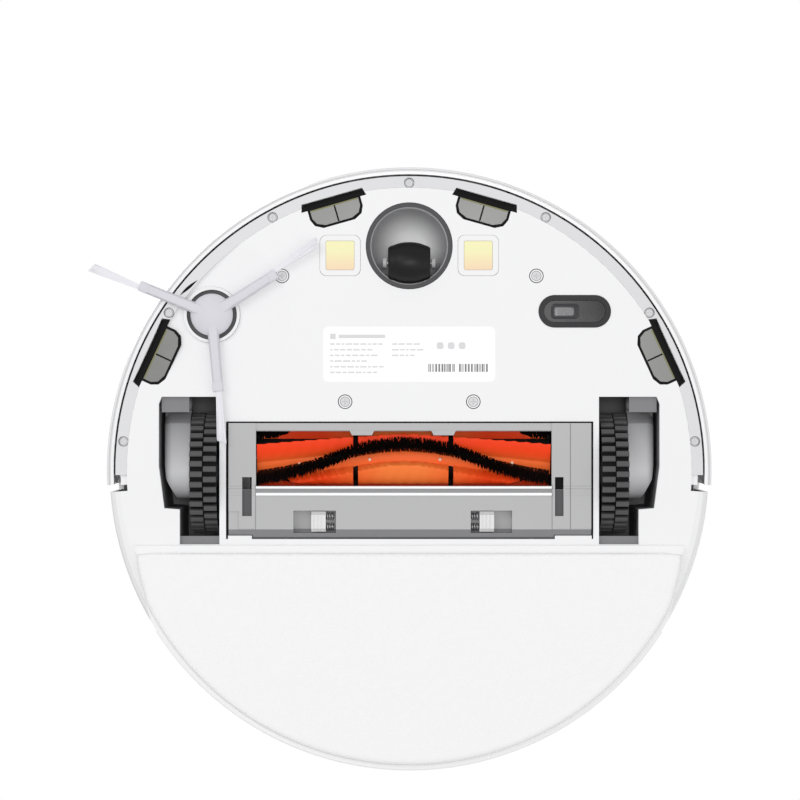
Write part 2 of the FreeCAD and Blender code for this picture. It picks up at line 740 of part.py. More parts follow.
def caster():
    axle_y = caster_y + caster_trail
    axle_z = caster_wheel_radius
    keep(turned("caster_ring", [
        (caster_ring_hole, base_bottom - 0.2), (caster_hole - gap, base_bottom - 0.2),
        (caster_hole - gap, base_bottom + 1.6), (caster_ring_hole, base_bottom + 1.6),
    ], spot=(0, caster_y, 0)))
    rim = base_bottom + 2.0
    bowl = turned("caster_bowl", [
        (caster_ring_hole, rim), (24.9, rim), (24.9, rim + 5.0), (22.6, 24.5), (17.0, 31.5), (9.0, 35.8),
        (4.0, 36.6), (4.0, tower_top + 1.5), (0, tower_top + 1.5), (0, 34.4), (8.2, 33.8),
        (15.8, 29.9), (20.6, 23.6), (caster_ring_hole, rim + 4.6),
    ], spot=(0, caster_y, 0))
    lugs = []
    for sign, side in ((-1, "left"), (1, "right")):
        start = 12.9 if sign > 0 else -15.4
        boss = cylinder("caster_boss_" + side, (start, axle_y, axle_z), 3.1, 2.5, "X")
        web = box("caster_web_" + side, (start, axle_y - 3.0, axle_z),
                  (start + 2.5, axle_y + 3.0, axle_z + 17.0))
        lugs += [boss, web]
    hole = cylinder("caster_pin_room", (-16.0, axle_y, axle_z), 1.5, 32.0, "X")
    keep(cut("caster_swivel", fuse("caster_swivel_body", [bowl] + lugs), [hole]))
    keep(cylinder("caster_axle", (-15.4, axle_y, axle_z), 1.5, 30.8, "X"))
    half = caster_wheel_width / 2
    wheel = turned("caster_wheel", [
        (1.5 + pin_play, -half), (8.3, -half), (10.2, -half + 3.2), (11.5, -6.0), (caster_wheel_radius, -2.2),
        (caster_wheel_radius, 2.2), (11.5, 6.0), (10.2, half - 3.2), (8.3, half), (1.5 + pin_play, half),
    ], spot=(0, axle_y, axle_z), rotation=AXIS_TURNS["X"])
    keep(wheel)


# ---------------------------------------------------------------- drive wheels

def wheel_frame():
    """The fixed dark box that a wheel module swings in, on the left."""
    low = base_bottom + base_skin + 0.2
    shell = padded("well_shell", well_outline(wall), low, well_top - low)
    room = padded("well_shell_room", well_outline(0.0), BELOW, well_top - wall - BELOW)
    walls = cut("well_walls", shell, [room])
    cap = box("well_cap", (-144.2, -42.7, low), (-128.2, -33.6, low + 2.0))
    shelf = common("well_shelf", padded("well_shelf_plan", well_outline(wall - 0.2), low, 2.0),
                   box("well_shelf_block", (-150.0, 38.6, 0), (-100.0, 60.0, 40.0)))
    boss = cylinder("well_pivot_boss", (-145.8, pivot_y, pivot_z), 4.6, 1.6, "X")
    pin = cylinder("well_pivot_pin", (-145.8, pivot_y, pivot_z), pivot_radius, 16.6, "X")
    return keep(fuse("left_wheel_frame", [walls, cap, shelf, boss, pin]))


def wheel_arm():
    """The swinging motor housing, with its pivot eye and wheel bearing."""
    axle_z = wheel_radius
    left = -143.6
    width = 15.4
    drum = cylinder("arm_drum", (left, wheel_y, axle_z), 15.2, width, "X")
    front = side_padded("arm_front", [
        (-27.0, 20.2), (wheel_y, 20.4), (wheel_y, 50.6), (-24.0, 48.0), (-33.0, 43.0), (-33.0, 26.0),
    ], left, width)
    eye = cylinder("arm_eye", (left, pivot_y, pivot_z), 4.2, width, "X")
    link = box("arm_link", (left, pivot_y, pivot_z - 2.0), (left + width, -30.0, pivot_z + 4.2))
    body = rounded("arm_body", fuse("arm_blank", [drum, front]), 4.5, outer_left_edge)
    whole = fuse("arm_whole", [body, eye, link])
    tools = [
        cylinder("arm_eye_hole", (-150.0, pivot_y, pivot_z), pivot_radius + pin_play, 40.0, "X"),
        cylinder("arm_axle_hole", (-142.0, wheel_y, axle_z), 3.0 + pin_play, 40.0, "X"),
        cylinder("arm_seat", (-136.0, wheel_y, axle_z + 14.2), 4.6, 20.0),
        padded("arm_corner", [(-150.0, -4.0), (-143.7, -4.0), (-142.4, 6.0), (-136.4, 18.0), (-150.0, 18.0)],
               BELOW, 100.0),
    ]
    return keep(cut("left_wheel_arm", whole, tools))


def outer_left_edge(edge):
    """The edges round the arm's outer face."""
    return all(abs(vertex.Point.x + 143.6) < 0.01 for vertex in edge.Vertexes)


def wheel_and_tyre():
    """The hub with its axle, and the tyre with two staggered rows of blocks."""
    axis = AXIS_TURNS["X"]
    half = tyre_width / 2
    spot = (-wheel_x, wheel_y, wheel_radius)
    hub = keep(turned("left_wheel_hub", [
        (0, -half - 13.6), (3.0, -half - 13.6), (3.0, -half + 1.2), (9.0, -half + 1.2), (9.0, -half + 0.2),
        (28.9, -half + 0.2), (28.9, half - 0.2), (25.5, half - 0.2), (25.5, half - 2.4), (8.0, half - 3.2),
        (8.0, half - 0.6), (0, half - 0.6),
    ], spot=spot, rotation=axis))
    body = doc.addObject("PartDesign::Body", "left_tyre")
    sketch = new_sketch(body, "XZ_Plane")
    draw(sketch,
         [(29.0, -half), (31.2, -half), (32.6, -half + 1.0), (32.6, half - 1.0), (31.2, half), (29.0, half)])
    ring = body.newObject("PartDesign::Revolution", "tyre_carcass")
    ring.Profile = sketch
    ring.ReferenceAxis = (sketch, ["V_Axis"])
    ring.Angle = 360.0
    blocks = [tread_row(body, -half + 0.1, 0.0), tread_row(body, 0.35, 180.0 / TREAD_BLOCKS)]
    pattern = body.newObject("PartDesign::PolarPattern", "tread_ring")
    pattern.Originals = blocks
    pattern.Axis = (sketch, ["V_Axis"])
    pattern.Angle = 360.0
    pattern.Occurrences = TREAD_BLOCKS
    body.Tip = pattern
    keep(move(body, spot, axis))
    return hub, body


def tread_row(body, start, degrees):
    """One block of a tread row, seen along the wheel's axis."""
    plane = next(item for item in body.Origin.OriginFeatures if item.Role == "XY_Plane")
    sketch = body.newObject("Sketcher::SketchObject", "block_sketch")
    sketch.AttachmentSupport = [(plane, "")]
    sketch.MapMode = "FlatFace"
    sketch.AttachmentOffset = Placement(Vector(0, 0, number(start)), Rotation(Vector(0, 0, 1), degrees))
    draw(sketch, [(31.8, -1.75), (wheel_radius - 0.5, -1.65), (wheel_radius - 0.03, -1.2),
                  (wheel_radius - 0.03, 1.2), (wheel_radius - 0.5, 1.65), (31.8, 1.75)])
    block = body.newObject("PartDesign::Pad", "tread_block")
    block.Profile = sketch
    block.Length = 7.4
    return block


def wheel_spring():
    """The room that the arm's compression spring fills."""
    base = wheel_radius + 14.4
    return keep(turned("left_wheel_spring", [
        (2.6, base), (4.0, base), (4.0, well_top - wall - 0.1), (2.6, well_top - wall - 0.1),
    ], spot=(-136.0, wheel_y, 0)))


def drive_wheels():
    left = [wheel_frame(), wheel_arm(), *wheel_and_tyre(), wheel_spring()]
    for piece in left:
        keep(mirrored(piece.Name.replace("left_", "right_"), piece))


# ---------------------------------------------------------------- side brush

def side_brush():
    spot = (side_brush_x, side_brush_y, 0)
    floor_z = base_bottom + 6.5
    keep(turned("side_brush_ring", [
        (14.6, base_bottom + 0.6), (side_well_radius, base_bottom + 0.4), (side_well_radius, floor_z + 1.5),
        (3.3, floor_z + 1.5), (3.3, floor_z), (14.6, floor_z),
    ], spot=spot))
    dome = turned("brush_dome", [
        (0, 4.6), (7.5, 4.9), (11.0, 5.9), (side_hub_radius, 7.6), (side_hub_radius, 11.6), (6.0, 12.6),
        (6.0, 15.0),
        (3.0, 15.0), (3.0, 21.0), (0, 21.0),
    ], spot=spot)
    arms = [brush_arm("brush_arm_%d" % index, degrees) for index, degrees in enumerate(BRUSH_ARM_ANGLES)]
    keep(fuse("side_brush_hub", [dome] + arms))
    tufts = [brush_tuft("brush_tuft_%d" % index, degrees) for index, degrees in enumerate(BRUSH_TUFT_ANGLES)]
    keep(group("side_brush_bristles", tufts))
    can = turned("brush_motor_can", [
        (3.4, floor_z + 1.8), (13.0, floor_z + 1.8), (13.0, 34.0), (9.5, 34.0), (9.5, 52.0), (0, 52.0),
        (0, 22.0), (3.4, 22.0),
    ], spot=spot)
    keep(can)
    can.Label = "side_brush_motor"


def brush_arm(name, degrees):
    """A tapering rubber stem that droops towards its collar."""
    root = 8.0
    tip = 42.5
    body = doc.addObject("PartDesign::Body", name)
    sketch = new_sketch(body, "XZ_Plane")
    draw(sketch, [(root, 4.9), (tip, 2.5), (tip, 5.6), (root, 8.5)])
    pad = body.newObject("PartDesign::Pad", name + "_pad")
    pad.Profile = sketch
    pad.Length = 5.2
    pad.Midplane = True
    return move(body, (side_brush_x, side_brush_y, 0), Rotation(Vector(0, 0, 1), degrees))


def brush_tuft(name, degrees):
    """The space a bundle of bristles fills, flaring to its tip."""
    body = doc.addObject("PartDesign::Body", name)
    sketch = new_sketch(body, "XY_Plane")
    reach = side_brush_reach
    draw(sketch, [(42.5, -2.1), (reach - 2.0, -2.8), (reach, 2.7), (42.5, 0.8)])
    pad = body.newObject("PartDesign::Pad", name + "_pad")
    pad.Profile = sketch
    pad.Length = 1.4
    droop = Rotation(Vector(0, 0, 1), degrees) * Rotation(Vector(0, 1, 0), 3.9)
    return move(body, (side_brush_x, side_brush_y, 6.3), droop)


# ---------------------------------------------------------------- roller

def roller():
    length = roller_right - roller_left
    spot = (roller_left, roller_y, roller_z)
    core = cylinder("roller_tube", spot, 11.0, length, "X")
    shaft = cylinder("roller_shaft", (roller_left - 9.2, roller_y, roller_z), 3.0, length + 21.4, "X")
    flaps = []
    for index in range(FLAPS):
        flap = box("roller_flap_%d" % index, (0, -0.9, 10.0), (length, 0.9, flap_radius))
        turn = Rotation(Vector(1, 0, 0), 360.0 * index / FLAPS)
        offset = turn.multVec(Vector(0, -0.9, 10.0))
        place = (roller_left, roller_y + offset.y, roller_z + offset.z)
        flaps.append(move(flap, place, turn))
    keep(fuse("roller_core", [core, shaft] + flaps))
    strips = []
    for index in range(FLAPS):
        strip = box("roller_strip_%d" % index, (0, -1.3, 11.3), (length - 2.0, 1.3, bristle_radius))
        turn = Rotation(Vector(1, 0, 0), 360.0 * (index + 0.5) / FLAPS)
        offset = turn.multVec(Vector(0, -1.3, 11.3))
        strips.append(move(strip, (roller_left + 1.0, roller_y + offset.y, roller_z + offset.z), turn))
    keep(group("roller_bristles", strips))
    bush = cylinder("bush_round", (roller_right + 3.0, roller_y, roller_z), 7.0, 9.0, "X")
    keep(cut("roller_bearing", bush,
             [cylinder("bush_bore", (roller_right, roller_y, roller_z), 3.05, 30.0, "X")]))


def brush_bay():
    """The arch over the roller, with its duct towards the bin."""
    low = guard_top + 0.4
    left = bay_left + 0.4
    right = bay_right - 0.4
    block = box("bay_block", (left, bay_front + 0.4, low), (right, bay_rear - 0.4, 49.5))
    collar = box("duct_collar", (-52.0, bay_rear - 1.0, 36.0), (52.0, bin_front - 0.8, 49.5))
    inner_left = roller_left - 2.0
    inner_right = roller_right + 2.0
    channel = cylinder("bay_channel", (inner_left, roller_y, roller_z), 22.4, inner_right - inner_left, "X")
    mouth = box("bay_mouth", (inner_left, roller_y - 21.0, BELOW),
                (inner_right, roller_y + 21.0, roller_z - 6.0))
    under = box("bay_under", (left + 1.5, 16.5, BELOW), (right - 1.5, bay_rear - 2.2, 32.5))
    duct = box("bay_duct", (-50.4, roller_y, 37.6), (50.4, bin_front + 2.0, 47.9))
    left_room = box("bay_left_room", (left + 1.5, bay_front + 2.0, BELOW), (inner_left - 1.6, 15.0, 60.0))
    right_room = box("bay_right_room", (inner_right + 11.0, bay_front + 2.0, BELOW),
                     (right - 1.5, 15.0, 47.9))
    shaft_room = cylinder("bay_shaft_room", (left, roller_y, roller_z), 3.4, 20.0, "X")
    bush_seat = cylinder("bay_bush_seat", (roller_right, roller_y, roller_z), 7.1, 12.4, "X")
    keep(cut("brush_bay", fuse("bay_body", [block, collar]),
             [channel, mouth, under, duct, left_room, right_room, shaft_room, bush_seat]))


def roller_drive_unit():
    """The flat gear case over the roller's left end, with its motor lying inwards."""
    left = bay_left + 2.2
    case = side_padded("gear_case", [
        (roller_y - 9.0, roller_z - 9.0), (roller_y + 9.0, roller_z - 9.0), (roller_y + 12.0, 47.0),
        (roller_y - 12.0, 47.0),
    ], left, 6.4)
    socket = cylinder("gear_socket", (left - 1.0, roller_y, roller_z), 3.1, 20.0, "X")
    upper = box("gear_case_top", (left, roller_y - 12.0, 46.0), (left + 6.4, roller_y + 12.0, 75.0))
    motor = turned("roller_motor_can", [
        (0, 0), (12.0, 0), (12.0, 42.0), (5.0, 42.0), (5.0, 45.0), (0, 45.0),
    ], spot=(left + 5.0, roller_y, 62.5), rotation=AXIS_TURNS["X"])
    return keep(cut("roller_drive_unit", fuse("roller_drive_body", [case, upper, motor]), [socket]))


# ---------------------------------------------------------------- brush guard

def brush_guard():
    left = guard_left
    right = guard_right
    front = guard_front
    rear = bay_rear - gap
    low = guard_bottom
    top = guard_top
    side = side_padded("guard_section", [
        (front + 0.6, low + 0.2), (mouth_front - 0.6, low + 0.2), (mouth_front, low + 0.8),
        (mouth_front, top - 0.4),
        (front, top - 0.4), (front, low + 0.8),
    ], left, right - left)
    rear_rail = side_padded("guard_rear", [
        (mouth_rear, low - 0.5), (mouth_rear + 0.3, low - 1.0), (mouth_rear + 1.3, low - 1.0),
        (mouth_rear + 1.6, low + 0.2), (mouth_rear + 3.8, low + 0.2), (mouth_rear + 4.1, low - 0.6),
        (mouth_rear + 5.3, low - 0.6), (mouth_rear + 5.7, low), (34.4, low), (rear, low + 1.9), (rear, top),
        (mouth_rear, top),
    ], left, right - left)
    left_cap = box("guard_left_cap", (left, front, low - 0.4), (mouth_left, 34.0, top))
    right_cap = box("guard_right_cap", (mouth_right, front, low - 0.4), (right, 34.0, top))
    tabs = []
    for name, middle in (("left", -27.5), ("right", 20.0)):
        tabs.append(padded("guard_tab_" + name, [
            (middle - 7.5, mouth_front - 1.0), (middle + 7.5, mouth_front - 1.0),
            (middle + 5.8, mouth_front + 2.4), (middle - 5.8, mouth_front + 2.4),
        ], low + 0.3, 1.4))
    cups = [box("latch_cup_left", (-69.0, 22.0, top - 0.2), (-41.0, 38.0, 17.0)),
            box("latch_cup_right", (34.2, 22.0, top - 0.2), (61.4, 38.0, 17.0))]
    body = fuse("guard_body", [side, rear_rail, left_cap, right_cap] + tabs + cups)
    tools = [
        box("pocket_left", (-67.3, 23.6, BELOW), (-42.6, 36.6, 15.6)),
        box("pocket_right", (35.8, 23.6, BELOW), (59.8, 36.6, 15.6)),
        box("cap_window_left", (-97.1, 4.1, BELOW), (-91.5, 26.8, low + 1.6)),
        box("cap_window_right", (84.7, 4.1, BELOW), (89.7, 26.8, low + 1.6)),
        box("cap_groove_right", (93.4, front - 1.0, BELOW), (93.9, 34.5, low + 0.5)),
        box("cap_through_left", (-97.1, 4.1, BELOW), (-91.5, 11.4, 30.0)),
        box("cap_through_right", (84.7, 4.1, BELOW), (89.7, 11.4, 30.0)),
        box("cap_seam_left", (mouth_left - 0.5, mouth_rear - 1.2, BELOW), (mouth_left, 36.0, low + 0.5)),
        box("cap_seam_right", (mouth_right, mouth_rear - 1.2, BELOW), (mouth_right + 0.5, 36.0, low + 0.5)),
        box("tab_notch_left", (left - 1.0, tab_front - 0.5, BELOW), (-91.0, 50.0, 30.0)),
        box("tab_notch_right", (84.2, tab_front - 0.5, BELOW), (right + 1.0, 50.0, 30.0)),
        box("cap_step_left", (left - 1.0, 24.0, BELOW), (-99.0, 40.0, low + 0.5)),
    ]
    keep(cut("brush_guard", body, tools))
    latch("left_guard_latch", -57.0, 1)
    latch("right_guard_latch", 49.4, -1)


def latch(name, start, sign):
    """A finger slider: a ribbed pad on a carriage, pushed towards the middle."""
    far = start + 8.4 * sign
    low_x, high_x = min(start, far), max(start, far)
    carriage = box(name + "_carriage", (low_x, 24.2, 11.4), (high_x, 36.0, 14.6))
    pad_block = box(name + "_pad", (low_x, 26.0, 8.6), (high_x, 34.2, 11.6))
    grooves = [box(name + "_rib_%d" % index, (low_x + 1.2 + 2.2 * index, 25.0, 8.0),
                   (low_x + 2.0 + 2.2 * index, 35.0, 9.2)) for index in range(3)]
    keep(cut(name, fuse(name + "_body", [carriage, pad_block]), grooves))


# ---------------------------------------------------------------- tank, bin, lid

def water_tank():
    half = tank_half_width
    outside = common("tank_outside",
                     box("tank_block", (-half, tank_front, tank_bottom), (half, 200.0, tank_roof - 0.5)),
                     cylinder("tank_disc", (0, 0, 0), body_radius - 0.2, 40.0))
    hollow = common("tank_hollow",
                    box("tank_hollow_block", (-half + 2.0, tank_front + 2.0, tank_bottom + 2.0),
                                       (half - 2.0, 200.0, tank_roof - 2.5)),
                    cylinder("tank_hollow_disc", (0, 0, 0), body_radius - 2.6, 40.0))
    keep_out = box("button_keep_out", (-22.0, 158.0, 0), (22.0, 180.0, 40.0))
    water_room = cut("tank_water_room", hollow, [keep_out])
    button_room = box("button_room", (-18.3, 161.0, 14.7), (18.3, 200.0, 26.3))
    keep(cut("water_tank", outside, [water_room, button_room]))
    face = common("button_face", box("button_block", (-18.0, 166.0, 15.0), (18.0, 190.0, 26.0)),
                  cylinder("button_disc", (0, 0, 0), body_radius - 0.5, 40.0))
    keep(face)
    face.Label = "tank_release_button"


def mop_plate():
    block = padded("plate_block", plate_outline(0.0), plate_bottom, tank_bottom - 0.05 - plate_bottom)
    plate = common("plate_disc_trim", block, cylinder("plate_disc", (0, 0, 0), body_radius - 1.2, 40.0))
    lip = box("plate_lip", (-plate_half_width - 1.0, 43.8, plate_bottom + 0.4),
              (plate_half_width + 1.0, tank_front + 1.0, base_bottom - 0.3))
    keep(fuse("mop_plate", [plate, lip]))
    pad_block = padded("pad_block", plate_outline(-0.8), pad_bottom, plate_bottom - 0.05 - pad_bottom)
    cloth = common("mop_pad", pad_block, cylinder("pad_disc", (0, 0, 0), body_radius - 4.0, 40.0))
    keep(cloth)


def dust_bin():
    disc = body_radius - 11.0
    top = deck_top - deck_skin - 2.6
    outer = common("bin_outer",
                   box("bin_block", (-bin_half_width, bin_front, bin_bottom),
                       (bin_half_width, bin_rear, top)),
                   cylinder("bin_disc", (0, 0, 0), disc, 90.0))
    inner = common("bin_inner",
                   box("bin_inner_block", (-bin_half_width + wall, bin_front + wall, bin_bottom + wall),
                                    (bin_half_width - wall, bin_rear - wall, 90.0)),
                   cylinder("bin_inner_disc", (0, 0, 0), disc - wall, 90.0))
    inlet = box("bin_inlet", (-50.0, bin_front - 2.0, 38.6), (50.0, bin_front + 3.0, 47.6))
    outlet = box("bin_outlet", (bin_half_width - 3.0, 68.0, 46.0), (bin_half_width + 2.0, 100.0, 68.0))
    keep(cut("dust_bin", outer, [inner, inlet, outlet]))
    plate = common("bin_cover_plate", box("cover_block", (-bin_half_width, bin_front, top + 0.05),
                                          (bin_half_width, bin_rear, top + 2.0)),
                   cylinder("cover_disc", (0, 0, 0), disc, 90.0))
    grip = box("cover_grip", (-22.0, 92.0, 60.0), (22.0, 110.0, 90.0))
    keep(cut("bin_cover", plate, [grip]))
    pleats = []
    for index in range(14):
        start = 69.4 + 2.1 * index
        pleats.append(box("pleat_%d" % index, (bin_half_width - 12.0, start, 47.5),
                          (bin_half_width - 2.6, start + 1.0, 66.5)))
    frame = cut("filter_ring",
                box("filter_block", (bin_half_width - 4.2, 66.8, 45.0),
                    (bin_half_width - wall - 0.1, 101.2, 69.0)),
                [box("filter_hole", (60.0, 69.0, 47.4), (80.0, 99.0, 66.6))])
    pad = box("filter_media", (bin_half_width - 4.2, 69.0, 47.4), (bin_half_width - 3.2, 99.0, 66.6))
    keep(fuse("dust_filter", [frame, pad] + pleats))


def top_lid():
    low = deck_top - deck_skin + 0.2
    axis_z = deck_top - 1.4
    panel = common("lid_panel",
                   box("lid_block", (-lid_half_width, lid_front, low), (lid_half_width, lid_rear, deck_top)),
                   cylinder("lid_disc", (0, 0, 0), body_radius - 9.0, 90.0))
    nose = cylinder("lid_nose", (-lid_half_width, lid_front, axis_z), 1.3, lid_half_width * 2, "X")
    holes = [cylinder("lid_hole_left", (-lid_half_width - 1.0, lid_front, axis_z), 0.85, 6.0, "X"),
             cylinder("lid_hole_right", (lid_half_width - 5.0, lid_front, axis_z), 0.85, 6.0, "X")]
    keep(cut("top_lid", fuse("lid_body", [panel, nose]), holes + [finger_scoop("lid_scoop")]))
    pins = [cylinder("lid_pin_left", (-(lid_half_width + 3.8), lid_front, axis_z), 0.8, 8.0, "X"),
            cylinder("lid_pin_right", (lid_half_width - 4.2, lid_front, axis_z), 0.8, 8.0, "X")]
    keep(group("lid_hinge_pins", pins))


# ---------------------------------------------------------------- inside

def insides():
    keep(rounded_box("battery_pack", (-38.0, -102.4, 16.0), (38.0, -45.5, 37.0), 9.0))
    board = rounded_box("board_plate", (-72.0, -150.0, 56.0), (72.0, -46.0, 57.6), 6.0)
    chips = [
        box("board_processor", (-12.0, -98.0, 57.5), (6.0, -80.0, 60.0)),
        box("board_memory", (12.0, -96.0, 57.5), (22.0, -82.0, 59.2)),
        box("board_driver", (-46.0, -76.0, 57.5), (-36.0, -66.0, 59.4)),
        box("board_socket", (-66.0, -120.0, 57.5), (-58.0, -96.0, 64.0)),
        box("board_shield", (32.0, -122.0, 57.5), (58.0, -96.0, 60.5)),
    ]
    keep(fuse("main_board", [board] + chips))
    fan()


def fan():
    centre_x = 108.5
    centre_y = 84.0
    low = tank_roof + 3.0
    shell = turned("fan_shell", [
        (0, low), (27.5, low), (27.5, 58.0), (12.0, 58.0), (12.0, 56.4), (25.9, 56.4), (25.9, low + 1.6),
        (0, low + 1.6),
    ], spot=(centre_x, centre_y, 0))
    outlet = box("fan_outlet", (centre_x + 8.0, centre_y + 20.0, low + 4.0),
                 (centre_x + 18.0, centre_y + 30.0, 52.0))
    motor = turned("fan_motor", [
        (0, low + 1.0), (9.0, low + 1.0), (9.0, 46.0), (1.5, 46.0), (1.5, 52.5), (0, 52.5),
    ], spot=(centre_x, centre_y, 0))
    keep(fuse("fan_housing", [cut("fan_case", shell, [outlet]), motor]))
    disc = turned("fan_disc", [
        (1.55, 47.0), (22.0, 47.0), (22.0, 48.2), (5.0, 48.2), (4.0, 53.0), (1.55, 53.0),
    ], spot=(centre_x, centre_y, 0))
    blades = []
    for index in range(9):
        turn = Rotation(Vector(0, 0, 1), 40.0 * index)
        blade = box("fan_blade_%d" % index, (0, 0, 0), (16.0, 1.0, 5.6))
        offset = turn.multVec(Vector(5.5, 3.0, 0))
        skew = Rotation(Vector(0, 0, 1), 40.0 * index + 12.0)
        blades.append(move(blade, (centre_x + offset.x, centre_y + offset.y, 48.0), skew))
    keep(fuse("fan_impeller", [disc] + blades))


# ---------------------------------------------------------------- build

def build():
    base_plate()
    bumper_retainer()
    screws()
    top_shell()
    bumper()
    rating_label()
    cliff_sensors()
    charging_contacts()
    flow_sensor()
    camera_and_buttons()
    caster()
    drive_wheels()
    side_brush()
    roller()
    brush_bay()
    roller_drive_unit()
    brush_guard()
    water_tank()
    mop_plate()
    dust_bin()
    top_lid()
    insides()


def check_and_export():
    """Stop on any failed object, then write one file for each sub-part."""
    doc.recompute()
    failed = [item.Name for item in doc.Objects if "Invalid" in item.State or "Error" in item.State]
    if failed:
        raise RuntimeError("objects that failed: %s" % ", ".join(failed))
    os.makedirs("parts", exist_ok=True)
    for item in nodes:
        shape = item.Shape
        if shape.isNull() or not shape.isValid() or not shape.Solids:
            raise RuntimeError("%s has no valid solid" % item.Label)
    for item in nodes:
        item.Shape.exportStep("parts/%s.step" % item.Label)
        box_ = item.Shape.BoundBox
        print("%-28s solids %2d  volume %9.1f  X %7.1f %7.1f  Y %7.1f %7.1f  Z %6.1f %6.1f" % (
            item.Label, len(item.Shape.Solids), item.Shape.Volume, box_.XMin, box_.XMax,
            box_.YMin, box_.YMax, box_.ZMin, box_.ZMax))
    print(len(nodes), "sub-parts")


build()
check_and_export()
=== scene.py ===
import math
import random

import bpy
import numpy as np
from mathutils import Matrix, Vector


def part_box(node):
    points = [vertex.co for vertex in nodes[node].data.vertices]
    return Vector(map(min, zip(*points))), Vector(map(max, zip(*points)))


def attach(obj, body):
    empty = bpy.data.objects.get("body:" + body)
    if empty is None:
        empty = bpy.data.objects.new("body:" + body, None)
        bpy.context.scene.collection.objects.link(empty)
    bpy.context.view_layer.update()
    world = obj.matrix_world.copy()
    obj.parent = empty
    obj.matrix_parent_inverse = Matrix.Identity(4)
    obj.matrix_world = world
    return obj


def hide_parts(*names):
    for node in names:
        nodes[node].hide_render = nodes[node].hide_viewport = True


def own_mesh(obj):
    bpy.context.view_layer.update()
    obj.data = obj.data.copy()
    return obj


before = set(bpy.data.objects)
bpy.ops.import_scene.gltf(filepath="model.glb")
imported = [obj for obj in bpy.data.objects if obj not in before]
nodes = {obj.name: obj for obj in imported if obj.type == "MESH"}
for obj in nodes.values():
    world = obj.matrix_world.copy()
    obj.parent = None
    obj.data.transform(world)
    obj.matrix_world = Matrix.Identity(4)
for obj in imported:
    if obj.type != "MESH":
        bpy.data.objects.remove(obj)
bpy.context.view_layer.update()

MM = 0.001
dice = random.Random(7)


def box_middle(node):
    """The middle of a CAD node's box, in mm."""
    low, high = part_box(node)
    return tuple((first + last) / 2 / MM for first, last in zip(low, high))


# ---------------------------------------------------------------- materials

def linear(red, green, blue):
    """A colour given as 0 to 255 on screen, as the linear values a shader takes."""
    def one(value):
        value = value / 255.0
        return value / 12.92 if value <= 0.04045 else ((value + 0.055) / 1.055) ** 2.4
    return (one(red), one(green), one(blue), 1.0)


def shaded(colour, factor):
    return tuple(min(1.0, channel * factor) for channel in colour[:3]) + (1.0,)


def banded(tree, place, painted, band):
    """The colour so far, changed by place on the part. A band is (where, start, end, colour, manner),
    in mm.
    The manner is "step" for the stretch between the two limits, or "ramp" for a slow change between them.
    Where is an axis name, or (axis, first, second) for the distance from a line along that axis."""
    where, start, end, other, manner = band
    split = tree.nodes.new("ShaderNodeSeparateXYZ")
    if isinstance(where, str):
        tree.links.new(place.outputs["Object"], split.inputs["Vector"])
        measure = split.outputs[where]
    else:
        axis, first, second = where
        centre, keep = {"Z": ((first, second, 0.0), (1, 1, 0)),
                        "X": ((0.0, first, second), (0, 1, 1))}[axis]
        shift = tree.nodes.new("ShaderNodeVectorMath")
        shift.operation = "SUBTRACT"
        shift.inputs[1].default_value = [value * MM for value in centre]
        flat = tree.nodes.new("ShaderNodeVectorMath")
        flat.operation = "MULTIPLY"
        flat.inputs[1].default_value = keep
        reach = tree.nodes.new("ShaderNodeVectorMath")
        reach.operation = "LENGTH"
        tree.links.new(place.outputs["Object"], shift.inputs[0])
        tree.links.new(shift.outputs["Vector"], flat.inputs[0])
        tree.links.new(flat.outputs["Vector"], reach.inputs[0])
        measure = reach.outputs["Value"]
    if manner == "step":
        share = tree.nodes.new("ShaderNodeMath")
        share.operation = "COMPARE"
        share.inputs[1].default_value = (start + end) / 2 * MM
        share.inputs[2].default_value = abs(end - start) / 2 * MM
        tree.links.new(measure, share.inputs[0])
        factor = share.outputs["Value"]
    else:
        share = tree.nodes.new("ShaderNodeMapRange")
        share.inputs["From Min"].default_value = start * MM
        share.inputs["From Max"].default_value = end * MM
        tree.links.new(measure, share.inputs["Value"])
        factor = share.outputs["Result"]
    mixed = tree.nodes.new("ShaderNodeMix")
    mixed.data_type = "RGBA"
    mixed.inputs["B"].default_value = other
    tree.links.new(factor, mixed.inputs["Factor"])
    tree.links.new(painted, mixed.inputs["A"])
    return mixed.outputs["Result"]


